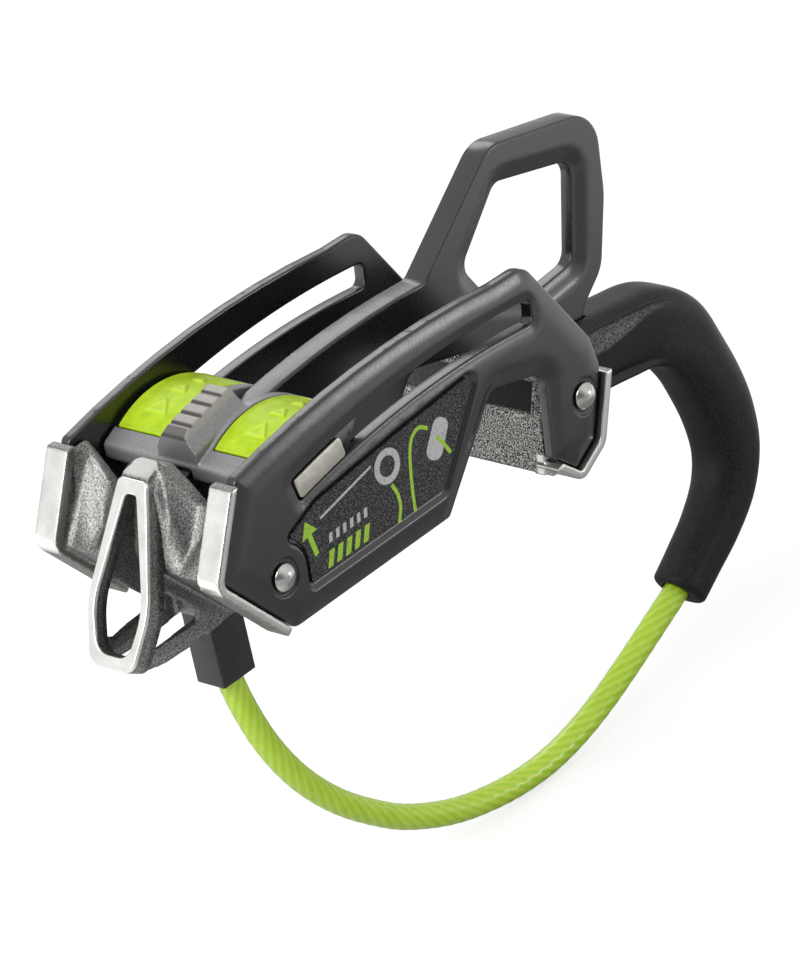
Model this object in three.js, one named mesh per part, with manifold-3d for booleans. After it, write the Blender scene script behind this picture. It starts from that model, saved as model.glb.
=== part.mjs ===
// Assisted braking belay device for two ropes: three aluminium plates, cast steel inserts, a mode slider,
// a thumb handle and a coated wire cable. Millimetres, +X to the handle end, +Y to the right plate, +Z up.
// Places are worked out from the front rivet's axis; the finished group is centred on the device's own box.
import * as THREE from 'three';
import { mergeVertices } from 'three/addons/utils/BufferGeometryUtils.js';
import { ConvexGeometry } from 'three/addons/geometries/ConvexGeometry.js';
import Module from 'manifold-3d';

const wasm = await Module();
wasm.setup();

// Driving sizes: the plate pack
const rivetSpacing = 65.2;
const rearRivetDrop = 4.6;
const plateHeight = 30.2;
const sideThickness = 2.6;
const centreThickness = 4.2;
const ropeGap = 13.3;
const plateBevel = 0.5;
const topArcRadius = 168;
const topArcPeakShare = 0.712;
const topArcCentreShare = 0.475;
const clearance = 0.3;
const overrun = 4;
const skim = 0.3;

// Corner rounding, from the sharpest corner to the broadest
const crispRadius = 0.6;
const tightRadius = 1.2;
const softRadius = 2.5;
const bendRadius = 4;
const wideRadius = 6;
const sweepRadius = 14;

// Rivets
const rivetShankRadius = 1.6;
const rivetHeadRadius = 2.15;
const rivetHeadHeight = 1;
const rivetSeatRadius = 2.75;
const rivetSeatDepth = 0.4;

// Slot in the side plates and the slider that runs in it
const slotRadius = 152;
const slotHeight = 3.9;
const slotCentreShare = 0.59;
const slotPeakShare = 0.4735;
const slotPeak = slotPeakShare * plateHeight;
const slotFront = 5.8;
const slotRear = 58.3;
const centreTopRise = 3.6;
const keyLength = 10.2;
const keyInset = 0.15;
const saddleRadius = 16.6;
const saddleThickness = 3.4;
const saddleCentreX = 12.6;
const saddleTop = slotPeak + slotHeight;
const saddleCentreZ = saddleTop - saddleRadius;
const saddleFront = 3.9;
const saddleRear = 23.4;
const saddleLip = 2.9;
const saddleLipDrop = 3.1;
const cheekThickness = 2.4;
const cheekDrop = 5.5;
const insertThickness = 1.2;
const insertRim = 1.3;
const tabLength = 11.2;
const tabHalfWidth = 3.9;
const tabRidgeHalfWidth = 2;
const tabFlank = 3;
const tabRise = 5.6;
const tabRidgeCount = 5;
const tabRidgeStep = 0.55;
const ridgeCrestShare = 0.7;
const ridgeFootShare = 0.85;
const detentRoof = 1.4;

// Label pocket in each side plate
const pocketDepth = 0.7;
const pocketSlope = 0.8;
const labelThickness = 0.3;

// Guide eye on the centre plate
const eyeReach = 30.2;
const eyeRise = 31.2;
const dishWidth = 3.1;
const dishDepth = 1.25;

// Cast inserts
const frontFlangeThickness = 1.4;
const rearFlangeThickness = 1.3;
const flangeOverhang = 0.3;
const frontFlangeWidth = 4.4;
const rearFlangeWidth = 5.2;
const rearCheekThickness = 2.1;
const noseFaceHeight = 28.6;
const noseDepth = 2.4;
const noseFloorShare = 0.288;
const noseRimStep = 0.3;
const noseWallThickness = 1.5;
const noseWallHalfWidth = 5.4;

// Thumb handle
const handleReach = 45.4;
const handleDrop = 53;
const handleRootHeight = 12.7;
const handleRootWidth = 9.8;
const handleGripDiameter = 10.9;
const handleEndDiameter = 8.2;
const handleEndRadius = 1;
const handleRootWall = 0.9;
const handleStations = 34;
const handleSides = 24;

// Cable and its end block
const sleeveDiameter = 4;
const sleeveBore = 2.9;
const coreDiameter = 2.4;
const ferruleDiameter = 4;
const frontFerruleLength = 7.6;
const rearFerruleLength = 5;
const rearSleeveDepth = 8;
const blockLength = 6.8;
const blockWidth = 5.5;
const blockCentreX = 0.8;
const blockTop = -4.2;
const blockBottom = -20.5;
const blockEntry = 3;
const cableSides = 12;
const cableSteps = 40;
const arcSegments = 5;
const ruledSteps = 4;

// Working levels across the plate pack
const centreFace = centreThickness / 2;
const sideInner = centreFace + ropeGap;
const sideOuter = sideInner + sideThickness;
const betweenPlates = sideInner - clearance;

const steelColour = 0xc9c8c4;
const blackAnodised = 0x2a2a2b;
const handleBlack = 0x232324;
const sliderGrey = 0x8c8b90;
const keyGrey = 0xbdbab2;
const insertGreen = 0xb9dc2e;
const sleeveGreen = 0xa5d62a;

// Closed geometry from rings of points, each ring with the same number of points, capped at both ends
function loft(rings) {
  const count = rings[0].length;
  const positions = rings.flatMap((ring) => ring.flatMap((p) => [p.x, p.y, p.z]));
  const index = [];
  for (let r = 0; r < rings.length - 1; r += 1) {
    for (let i = 0; i < count; i += 1) {
      const a = r * count + i;
      const b = r * count + ((i + 1) % count);
      index.push(a, b, b + count, a, b + count, a + count);
    }
  }
  const capFaces = (ring) => {
    const normal = new THREE.Vector3();
    ring.forEach((p, i) => normal.add(p.clone().cross(ring[(i + 1) % count])));
    const frame = new THREE.Quaternion().setFromUnitVectors(normal.normalize(), new THREE.Vector3(0, 0, 1));
    const flat = ring.map((p) => p.clone().applyQuaternion(frame)).map((p) => new THREE.Vector2(p.x, p.y));
    const faces = THREE.ShapeUtils.triangulateShape(flat, []);
    if (faces.length !== count - 2) {
      throw new Error(`cap of ${count} points has ${faces.length} faces`);
    }
    return faces;
  };
  const last = (rings.length - 1) * count;
  capFaces(rings[0]).forEach(([a, b, c]) => index.push(c, b, a));
  capFaces(rings[rings.length - 1]).forEach(([a, b, c]) => index.push(last + a, last + b, last + c));
  const geometry = new THREE.BufferGeometry();
  geometry.setAttribute('position', new THREE.Float32BufferAttribute(positions, 3));
  geometry.setIndex(index);
  return geometry;
}

// Solid for joining and cutting, turned the right way out when its faces point in
function solid(geometry) {
  const bare = geometry.clone();
  bare.deleteAttribute('normal');
  bare.deleteAttribute('uv');
  const merged = mergeVertices(bare, 1e-4);
  const vertProperties = new Float32Array(merged.attributes.position.array);
  const triVerts = new Uint32Array(merged.index.array);
  let volume = 0;
  const corner = (i) => new THREE.Vector3().fromArray(vertProperties, 3 * triVerts[i]);
  for (let i = 0; i < triVerts.length; i += 3) {
    volume += corner(i).dot(corner(i + 1).cross(corner(i + 2)));
  }
  if (volume < 0) {
    for (let i = 0; i < triVerts.length; i += 3) {
      [triVerts[i], triVerts[i + 1]] = [triVerts[i + 1], triVerts[i]];
    }
  }
  return new wasm.Manifold(new wasm.Mesh({ numProp: 3, vertProperties, triVerts }));
}

function piece(name, body, colour, roughness, metalness) {
  const { vertProperties, triVerts } = body.getMesh();
  const geometry = new THREE.BufferGeometry();
  geometry.setAttribute('position', new THREE.Float32BufferAttribute(vertProperties, 3));
  geometry.setIndex(new THREE.Uint32BufferAttribute(triVerts, 1));
  geometry.computeVertexNormals();
  const material = new THREE.MeshStandardMaterial({ color: colour, roughness, metalness });
  const mesh = new THREE.Mesh(geometry, material);
  mesh.name = name;
  return mesh;
}

// Side-view outline from [x, z, radius] corners, anticlockwise, with each corner rounded by its own radius
function rounded(corners) {
  const loop = [];
  corners.forEach(([x, z, radius = 0], i) => {
    const here = new THREE.Vector2(x, z);
    if (radius === 0) {
      loop.push(here);
      return;
    }
    const before = corners[(i + corners.length - 1) % corners.length];
    const after = corners[(i + 1) % corners.length];
    const toBefore = new THREE.Vector2(before[0], before[1]).sub(here);
    const toAfter = new THREE.Vector2(after[0], after[1]).sub(here);
    const room = Math.min(toBefore.length(), toAfter.length()) * 0.49;
    toBefore.normalize();
    toAfter.normalize();
    const half = Math.acos(THREE.MathUtils.clamp(toBefore.dot(toAfter), -1, 1)) / 2;
    const reach = Math.min(radius / Math.tan(half), room);
    const arc = reach * Math.tan(half);
    const middle = toBefore.clone().add(toAfter).normalize().multiplyScalar(arc / Math.sin(half)).add(here);
    const start = here.clone().addScaledVector(toBefore, reach).sub(middle);
    const turn = Math.PI - 2 * half;
    const side = Math.sign(toAfter.cross(toBefore));
    for (let k = 0; k <= arcSegments; k += 1) {
      const angle = (side * turn * k) / arcSegments;
      loop.push(start.clone().rotateAround(new THREE.Vector2(), angle).add(middle));
    }
  });
  return loop;
}

// Outline moved outwards by one distance, or inwards by a negative one
function grow(loop, distance) {
  return loop.map((point, i) => {
    const before = loop[(i + loop.length - 1) % loop.length];
    const after = loop[(i + 1) % loop.length];
    const inEdge = point.clone().sub(before).normalize();
    const outEdge = after.clone().sub(point).normalize();
    const inNormal = new THREE.Vector2(inEdge.y, -inEdge.x);
    const outNormal = new THREE.Vector2(outEdge.y, -outEdge.x);
    const normal = inNormal.clone().add(outNormal).normalize();
    return point.clone().addScaledVector(normal, distance / Math.max(normal.dot(inNormal), 0.5));
  });
}

function circle(x, z, radius, segments = 24) {
  const loop = [];
  for (let i = 0; i < segments; i += 1) {
    const angle = (2 * Math.PI * i) / segments;
    loop.push(new THREE.Vector2(x + radius * Math.cos(angle), z + radius * Math.sin(angle)));
  }
  return loop;
}

// Plate-like piece between two levels across the pack, from side-view outlines
function slab(loop, low, high, bevel = 0, holes = []) {
  const geometry = new THREE.ExtrudeGeometry(new THREE.Shape(loop), {
    depth: high - low - 2 * bevel,
    bevelEnabled: bevel > 0,
    bevelThickness: bevel,
    bevelSize: bevel,
    bevelOffset: -bevel,
    bevelSegments: 2,
  });
  geometry.rotateX(Math.PI / 2);
  geometry.translate(0, high - bevel, 0);
  const cutters = holes.map((hole) => slab(hole, low - overrun, high + overrun));
  return cutters.reduce((body, cutter) => body.subtract(cutter), solid(geometry));
}

// The same slab on both sides of the middle plane
function slabPair(loop, low, high) {
  return slab(loop, low, high).add(slab(loop, -high, -low));
}

function ring(loop, level) {
  return loop.map((point) => new THREE.Vector3(point.x, level, point.y));
}

function block(x0, x1, y0, y1, z0, z1) {
  const geometry = new THREE.BoxGeometry(x1 - x0, y1 - y0, z1 - z0);
  geometry.translate((x0 + x1) / 2, (y0 + y1) / 2, (z0 + z1) / 2);
  return solid(geometry);
}

const place = (xShare, zShare, radius) => [xShare * rivetSpacing, zShare * plateHeight, radius];

// Points on the slider's travel arc, by distance from the arc's own centre and by place along X
const arcCentre = new THREE.Vector2(slotCentreShare * rivetSpacing, slotPeak - slotRadius);
function arcPoint(radius, angle) {
  return new THREE.Vector2(arcCentre.x + radius * Math.sin(angle), arcCentre.y + radius * Math.cos(angle));
}
const arcAngle = (x, radius) => Math.asin((x - arcCentre.x) / radius);

function arcBand(inner, outer, from, to, steps, cornerRadii) {
  const corners = [];
  for (let i = 0; i <= steps; i += 1) {
    const point = arcPoint(inner, from + ((to - from) * i) / steps);
    corners.push([point.x, point.y, i === 0 ? cornerRadii[0] : i === steps ? cornerRadii[1] : 0]);
  }
  for (let i = steps; i >= 0; i -= 1) {
    const point = arcPoint(outer, from + ((to - from) * i) / steps);
    corners.push([point.x, point.y, i === steps ? cornerRadii[2] : i === 0 ? cornerRadii[3] : 0]);
  }
  return rounded(corners);
}

// Side plate outline: front edge, front chamfer, bottom, arch, rear leg, rear edge and the arched top
function sidePlateOutline() {
  const peak = topArcPeakShare * plateHeight;
  const centreX = topArcCentreShare * rivetSpacing;
  const corners = [
    place(-0.066, 0.587, tightRadius),
    place(-0.172, 0.162, tightRadius),
    place(0.006, -0.288, softRadius),
    place(0.526, -0.288, tightRadius),
    place(0.730, 0.179, softRadius),
    place(0.902, 0.079, softRadius),
    place(0.874, -0.361, crispRadius),
    place(0.940, -0.490, crispRadius),
    place(1.012, -0.407, tightRadius),
    place(1.077, -0.073, bendRadius),
    place(1.063, 0.096, bendRadius),
    place(0.904, 0.662, bendRadius),
  ];
  const topShares = [0.80, 0.69, 0.58, 0.47, 0.36, 0.25, 0.14, 0.04];
  topShares.forEach((share) => {
    const x = share * rivetSpacing;
    const drop = topArcRadius - Math.sqrt(topArcRadius ** 2 - (x - centreX) ** 2);
    corners.push([x, peak - drop, 0]);
  });
  return rounded(corners);
}
const sideOutline = sidePlateOutline();

function slotOutline() {
  const inner = slotRadius - slotHeight / 2;
  const outer = slotRadius + slotHeight / 2;
  const radii = [crispRadius, tightRadius, tightRadius, crispRadius];
  return arcBand(inner, outer, arcAngle(slotFront, slotRadius), arcAngle(slotRear, slotRadius), 12, radii);
}

// Label pocket: the floor's outline, a long triangle that bends round the front rivet
function pocketOutline() {
  const corners = [
    place(0.692, 0.344, tightRadius),
    place(0.415, 0.306, 0),
    place(0.138, 0.252, softRadius),
  ];
  const bossRadius = 1.9 * rivetSeatRadius;
  const horn = THREE.MathUtils.degToRad(63.4);
  corners.push([1.11 * bossRadius * Math.cos(horn), 1.11 * bossRadius * Math.sin(horn), crispRadius]);
  for (let i = 0; i <= 4; i += 1) {
    const angle = THREE.MathUtils.degToRad(56 - 17 * i);
    corners.push([bossRadius * Math.cos(angle), bossRadius * Math.sin(angle), 0]);
  }
  corners.push(place(0.074, -0.136, crispRadius));
  corners.push(place(0.519, -0.136, tightRadius));
  return rounded(corners);
}
const pocketLoop = pocketOutline();

// Cutter for the pocket: sloping walls down to a flat floor
function pocketCutter(side) {
  const floor = side * (sideOuter - pocketDepth);
  const above = side * (sideOuter + skim);
  const slope = pocketSlope * (pocketDepth + skim) / pocketDepth;
  return solid(loft([ring(pocketLoop, floor), ring(grow(pocketLoop, slope), above)]));
}

function sidePlate(name, side) {
  const low = side > 0 ? sideInner : -sideOuter;
  const high = side > 0 ? sideOuter : -sideInner;
  const holes = [
    slotOutline(),
    circle(0, 0, rivetShankRadius + clearance),
    circle(rivetSpacing, -rearRivetDrop, rivetShankRadius + clearance),
  ];
  let body = slab(sideOutline, low, high, plateBevel, holes).subtract(pocketCutter(side));
  [[0, 0], [rivetSpacing, -rearRivetDrop]].forEach(([x, z]) => {
    const seat = circle(x, z, rivetSeatRadius);
    const floor = sideOuter - rivetSeatDepth;
    body = body.subtract(side > 0 ? slab(seat, floor, floor + overrun) : slab(seat, -floor - overrun, -floor));
  });
  return piece(name, body, blackAnodised, 0.4, 0.6);
}

// The label lies on the pocket's floor
function label(name, side) {
  const floor = sideOuter - pocketDepth;
  const loop = grow(pocketLoop, -clearance);
  const top = floor + labelThickness;
  const body = side > 0 ? slab(loop, floor, top) : slab(loop, -top, -floor);
  return piece(name, body, 0x3a3a3c, 0.8, 0);
}

// Centre plate: body, arch, tang for the handle, guide eye and the top that the slider straddles
const centreTopRadius = slotRadius + centreTopRise;
function centrePlateOutline() {
  const rear = (xShare, zShare, radius) => [rivetSpacing + xShare * eyeReach, zShare * eyeRise, radius];
  const corners = [
    place(-0.064, -0.112, tightRadius),
    place(0.076, -0.112, tightRadius),
    place(0.104, -0.275, tightRadius),
    place(0.518, -0.275, tightRadius),
    place(0.722, 0.192, softRadius),
    place(0.905, 0.095, tightRadius),
    place(0.957, -0.060, tightRadius),
    place(0.957, -0.338, tightRadius),
    rear(0.623, -0.420, tightRadius),
    rear(0.683, -0.270, tightRadius),
    rear(0.600, -0.110, softRadius),
    rear(0.818, 0.051, wideRadius),
    rear(0.940, 0.401, sweepRadius),
    rear(0.990, 0.821, wideRadius),
    rear(0.215, 0.985, wideRadius),
  ];
  const neck = arcAngle(rivetSpacing - 0.40 * eyeReach, centreTopRadius);
  const front = arcAngle(-0.02 * rivetSpacing, centreTopRadius);
  const steps = 9;
  for (let i = 0; i <= steps; i += 1) {
    const point = arcPoint(centreTopRadius, neck + ((front - neck) * i) / steps);
    corners.push([point.x, point.y, i === 0 ? softRadius : i === steps ? tightRadius : 0]);
  }
  corners.push(place(-0.064, 0.200, softRadius));
  return rounded(corners);
}
const centreOutline = centrePlateOutline();

function eyeHole() {
  const rear = (xShare, zShare, radius) => [rivetSpacing + xShare * eyeReach, zShare * eyeRise, radius];
  return rounded([
    rear(-0.096, 0.480, softRadius),
    rear(0.036, 0.266, softRadius),
    rear(0.358, 0.128, softRadius),
    rear(0.646, 0.150, softRadius),
    rear(0.780, 0.640, softRadius),
    rear(0.235, 0.776, softRadius),
  ]);
}
const eyeLoop = eyeHole();

function centrePlate() {
  const holes = [
    circle(0, 0, rivetShankRadius + clearance),
    circle(rivetSpacing, -rearRivetDrop, rivetShankRadius + clearance),
    eyeLoop,
  ];
  let body = slab(centreOutline, -centreFace, centreFace, plateBevel, holes);
  [1, -1].forEach((side) => {
    const slope = dishWidth * (dishDepth + skim) / dishDepth;
    const inner = ring(eyeLoop, side * (centreFace - dishDepth));
    const outer = ring(grow(eyeLoop, slope), side * (centreFace + skim));
    body = body.subtract(solid(loft([inner, outer])));
  });
  return piece('centre_plate', body, blackAnodised, 0.4, 0.6);
}

// Space that a cast insert or the handle leaves for the centre plate
function centreRelief() {
  return slab(grow(centreOutline, clearance), -centreFace - clearance, centreFace + clearance);
}

function rivetHole(x, z) {
  return slab(circle(x, z, rivetShankRadius + clearance), -sideOuter - overrun, sideOuter + overrun);
}

// Domed rivet: a turned profile about its own axis, laid across the plates
function rivet(name, x, z) {
  const seat = sideOuter - rivetSeatDepth + clearance / 2;
  const rim = sideOuter + clearance / 2;
  const domeSteps = 5;
  const half = [[rivetShankRadius, seat], [rivetHeadRadius, seat], [rivetHeadRadius, rim]];
  for (let i = 1; i <= domeSteps; i += 1) {
    const angle = (Math.PI / 2) * (i / domeSteps);
    half.push([rivetHeadRadius * Math.cos(angle), rim + rivetHeadHeight * Math.sin(angle)]);
  }
  half[half.length - 1][0] = 0;
  const lower = half.map(([radius, height]) => [radius, -height]).reverse();
  const profile = [...lower, ...half].map(([radius, height]) => new THREE.Vector2(radius, height));
  const turned = new THREE.LatheGeometry(profile, 24);
  turned.translate(x, 0, z);
  return piece(name, solid(turned), steelColour, 0.25, 1);
}

// Strip of casting that wraps the edge of both side plates within one region of the side view
function flange(region, thickness, width) {
  const outside = sideOuter + flangeOverhang;
  const inside = outside - width;
  const wrap = slabPair(grow(sideOutline, clearance + thickness), inside, outside);
  const shell = wrap.intersect(slabPair(region, inside, outside));
  const plateRoom = slabPair(grow(sideOutline, clearance), betweenPlates, outside + overrun);
  return shell.subtract(plateRoom);
}

// Nose of the front insert: a leaning frame with a teardrop opening, placed across, down and into its front face
const noseTop = new THREE.Vector2(-0.112 * rivetSpacing, 0.580 * plateHeight);
const noseDown = new THREE.Vector2(-1, -2).normalize();
const noseIn = new THREE.Vector2(-noseDown.y, noseDown.x);
function nosePoint(across, down, depth) {
  const along = noseTop.clone().addScaledVector(noseDown, down).addScaledVector(noseIn, depth);
  return new THREE.Vector3(along.x, across, along.y);
}
function noseLoop(halfShares) {
  const half = halfShares.map(([across, down, radius]) => (
    [across * noseFaceHeight, -down * noseFaceHeight, radius]
  ));
  const mirrored = half.map(([across, down, radius]) => [-across, down, radius]);
  return rounded([...mirrored, ...half.reverse()]);
}
const noseRing = (loop, depth) => loop.map((point) => nosePoint(point.x, -point.y, depth));
const noseOutline = noseLoop([
  [0.090, -0.030, tightRadius],
  [0.208, 0.680, wideRadius],
  [0.150, 1.000, softRadius],
]);
const teardrop = noseLoop([
  [0.036, 0.085, crispRadius],
  [0.160, 0.690, wideRadius],
  [0.104, 0.930, softRadius],
]);

function spot([xShare, across, zShare], side = 1) {
  return new THREE.Vector3(xShare * rivetSpacing, side * across * sideInner, zShare * plateHeight);
}

// Cast bridge between the plates: half sections from the middle outwards, each running from the lower front
// edge up the rope groove, over its top edge and down the back, in shares of length, half width and height
function bridge() {
  const bottom = [[0.092, 0.083], [0.092, -0.182], [-0.005, -0.262]];
  const stations = [
    [[-0.167, 0, 0.129], [-0.117, 0, 0.483], [-0.077, 0, 0.563], [-0.034, 0, 0.550]],
    [[-0.167, 0.364, 0.129], [-0.119, 0.279, 0.493], [-0.077, 0.195, 0.563], [-0.034, 0.195, 0.550]],
    [[-0.170, 0.560, 0.136], [-0.117, 0.555, 0.219], [-0.060, 0.545, 0.394], [-0.028, 0.545, 0.364]],
    [[-0.170, 0.625, 0.136], [-0.101, 0.635, 0.252], [-0.060, 0.636, 0.388], [-0.028, 0.636, 0.364]],
    [[-0.167, 0.838, 0.129], [-0.049, 0.922, 0.503], [-0.031, 0.948, 0.530], [-0.018, 0.948, 0.503]],
    [[-0.170, 1, 0.156], [-0.075, 1, 0.556], [-0.034, 1, 0.563], [-0.018, 1, 0.537]],
  ];
  // Ruled skins between the stations, cut finely enough to twist without a fold
  const mixed = (a, b, share) => a.map((value, k) => THREE.MathUtils.lerp(value, b[k], share));
  const finer = (list, mix) => list.slice(1).flatMap((item, i) => (
    Array.from({ length: ruledSteps }, (unused, k) => mix(list[i], item, k / ruledSteps))
  )).concat([list[list.length - 1]]);
  const lines = stations.map((station) => finer(station, mixed));
  const skins = finer(lines, (a, b, share) => a.map((point, k) => mixed(point, b[k], share)));
  const ringAt = (line, side) => {
    const front = line.map(([x, y, z]) => spot([x, y * betweenPlates / sideInner, z], side));
    const across = front[front.length - 1].y;
    const back = [[-0.025, 0.265], ...bottom].map(([x, z]) => (
      new THREE.Vector3(x * rivetSpacing, across, z * plateHeight)
    ));
    return [...front, ...back];
  };
  const outer = skins.slice(1).reverse().map((line) => ringAt(line, -1));
  return solid(loft([...outer, ...skins.map((line) => ringAt(line, 1))]));
}

// The nose: frame, and behind it a tapering shell tied to the bridge, with a window in each side
function nose() {
  const frame = solid(loft([noseRing(noseOutline, 0), noseRing(noseOutline, noseDepth)]));
  const corners = noseRing(grow(noseOutline, -noseRimStep), noseRimStep * 2);
  [1, -1].forEach((side) => {
    const half = noseWallHalfWidth / sideInner;
    corners.push(spot([-0.167, half, 0.129], side));
    corners.push(spot([0.009, half, -0.290], side));
    corners.push(spot([0.050, half, -0.199], side));
    corners.push(spot([-0.077, 0.185, 0.560], side));
    corners.push(spot([-0.066, 0.091, 0.609], side));
  });
  const shell = solid(new ConvexGeometry(corners));
  const windowLoop = rounded([
    place(-0.252, -0.216, tightRadius),
    place(-0.076, -0.208, tightRadius),
    place(-0.186, 0.062, tightRadius),
  ]);
  const windows = slab(windowLoop, -noseWallHalfWidth - overrun, noseWallHalfWidth + overrun);
  return frame.add(shell).subtract(windows);
}

// Hollow behind the teardrop, open below
function noseHollow() {
  const opening = solid(loft([noseRing(teardrop, -overrun), noseRing(teardrop, noseDepth)]));
  const wider = grow(teardrop, noseWallThickness / 2);
  const deep = solid(loft([noseRing(wider, 0.8 * noseDepth), noseRing(wider, 5 * noseDepth)]));
  const lower = slab([
    [-0.300, -0.400], [-0.049, -0.400], [-0.049, -0.150], [-0.105, 0.120], [-0.200, 0.120], [-0.255, -0.250],
  ].map(([x, z]) => new THREE.Vector2(x * rivetSpacing, z * plateHeight)),
  -noseWallHalfWidth + noseWallThickness, noseWallHalfWidth - noseWallThickness);
  const limit = slab([
    [-0.500, -0.500], [-0.049, -0.500], [-0.049, -0.150], [-0.105, 0.120],
    [-0.092, 0.410], [-0.128, 0.520], [-0.500, 0.520],
  ].map(([x, z]) => new THREE.Vector2(x * rivetSpacing, z * plateHeight)), -sideInner, sideInner);
  return opening.add(deep.add(lower).intersect(limit));
}

function frontInsert() {
  const region = rounded([
    place(-0.5, 0.576, 0),
    place(-0.5, -0.500, 0),
    place(-0.150, -0.500, 0),
    place(-0.055, -0.322, tightRadius),
    place(-0.004, -0.240, 0),
    place(-0.030, -0.150, 0),
    place(-0.140, 0.150, 0),
    place(-0.075, 0.576, 0),
  ]);
  const noseFloor = -noseFloorShare * plateHeight;
  const under = block(-rivetSpacing, rivetSpacing, -sideOuter, sideOuter, -plateHeight, noseFloor);
  const blockRoom = block(
    blockCentreX - blockLength / 2 - clearance,
    blockCentreX + blockLength / 2 + clearance,
    -blockWidth / 2 - clearance,
    blockWidth / 2 + clearance,
    blockBottom,
    blockTop + clearance,
  );
  let body = bridge().add(nose().subtract(under)).subtract(noseHollow());
  body = body.add(flange(region, frontFlangeThickness, frontFlangeWidth));
  body = body.subtract(blockRoom).subtract(centreRelief()).subtract(rivetHole(0, 0));
  return piece('front_insert', body, steelColour, 0.35, 1);
}

function rearInsert() {
  const wallLoop = rounded([
    place(0.893, -0.159, 0),
    place(0.890, -0.503, crispRadius),
    place(0.940, -0.503, crispRadius),
    place(0.944, 0.000, crispRadius),
    place(0.930, 0.030, crispRadius),
  ]);
  const region = rounded([
    place(0.870, -0.410, 0),
    place(0.840, -0.600, 0),
    place(1.200, -0.800, 0),
    place(1.200, -0.104, 0),
    place(1.030, -0.104, 0),
    place(0.990, -0.300, 0),
  ]);
  // Cheek behind each leg, bored for the rear rivet
  const cheekLoop = rounded([
    place(0.925, 0.025, 0),
    place(0.893, -0.159, 0),
    place(0.868, -0.470, 0),
    place(0.985, -0.470, 0),
    place(1.030, -0.300, 0),
    place(1.062, -0.104, 0),
    place(1.020, 0.010, 0),
  ]);
  let body = slab(wallLoop, -betweenPlates, betweenPlates);
  body = body.add(slabPair(cheekLoop, betweenPlates - rearCheekThickness, betweenPlates));
  body = body.add(flange(region, rearFlangeThickness, rearFlangeWidth));
  body = body.subtract(centreRelief()).subtract(rivetHole(rivetSpacing, -rearRivetDrop));
  return piece('rear_insert', body, steelColour, 0.4, 1);
}

// Slider body: an arched saddle each side of the centre plate, joined over it by the thumb tab
const saddleCentre = new THREE.Vector2(saddleCentreX, saddleCentreZ);
function saddlePoint(radius, angle) {
  const spoke = new THREE.Vector2(Math.sin(angle), Math.cos(angle));
  return spoke.multiplyScalar(radius).add(saddleCentre);
}
const saddleFrontAngle = Math.asin((saddleFront - saddleCentreX) / saddleRadius);
const saddleRearAngle = Math.asin((saddleRear - saddleCentreX) / saddleRadius);
function saddleBand(inner, outer, from, to) {
  const steps = 10;
  const loop = [];
  for (let i = 0; i <= steps; i += 1) {
    loop.push(saddlePoint(inner, from + ((to - from) * i) / steps));
  }
  for (let i = steps; i >= 0; i -= 1) {
    loop.push(saddlePoint(outer, from + ((to - from) * i) / steps));
  }
  return loop;
}

const keyFront = slotFront + clearance;
const keyRear = keyFront + keyLength;
function keyLoop(grip) {
  const half = slotHeight / 2 - clearance + grip;
  const from = arcAngle(keyFront - grip, slotRadius);
  const to = arcAngle(keyRear + grip, slotRadius);
  const radii = [crispRadius, crispRadius, crispRadius, crispRadius];
  return arcBand(slotRadius - half, slotRadius + half, from, to, 4, radii);
}

function tab() {
  const rings = [];
  const topAt = (x) => arcPoint(centreTopRadius, arcAngle(x, centreTopRadius)).y + tabRise;
  const front = saddleFront - saddleLip + crispRadius / 2;
  const pitch = tabLength / tabRidgeCount;
  const section = (x, top, drop) => [
    new THREE.Vector3(x, -tabHalfWidth, top - tabRise),
    new THREE.Vector3(x, tabHalfWidth, top - tabRise),
    new THREE.Vector3(x, tabHalfWidth, top - tabFlank),
    new THREE.Vector3(x, tabRidgeHalfWidth + drop / 2, top - drop),
    new THREE.Vector3(x, -tabRidgeHalfWidth - drop / 2, top - drop),
    new THREE.Vector3(x, -tabHalfWidth, top - tabFlank),
  ];
  for (let i = 0; i < tabRidgeCount; i += 1) {
    const start = front + i * pitch;
    rings.push(section(start, topAt(start), i === 0 ? tabRidgeStep : 0));
    const crest = start + ridgeCrestShare * pitch;
    const foot = start + ridgeFootShare * pitch;
    rings.push(section(crest, topAt(crest), 0));
    rings.push(section(foot, topAt(foot), tabRidgeStep));
  }
  const end = front + tabLength;
  rings.push(section(end, topAt(end), tabFlank - tabRidgeStep));
  return solid(loft(rings));
}

function insertRoom(side, grip) {
  const from = saddleFrontAngle + grip / saddleRadius;
  const to = saddleRearAngle - (insertRim + grip) / saddleRadius;
  const low = centreFace + 0.17 * ropeGap + grip;
  const high = betweenPlates - clearance - grip;
  const floor = saddleRadius - insertThickness - clearance + grip;
  const loop = saddleBand(floor, saddleRadius + (grip > 0 ? 0 : overrun), from, to);
  return side > 0 ? slab(loop, low, high) : slab(loop, -high, -low);
}

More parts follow.
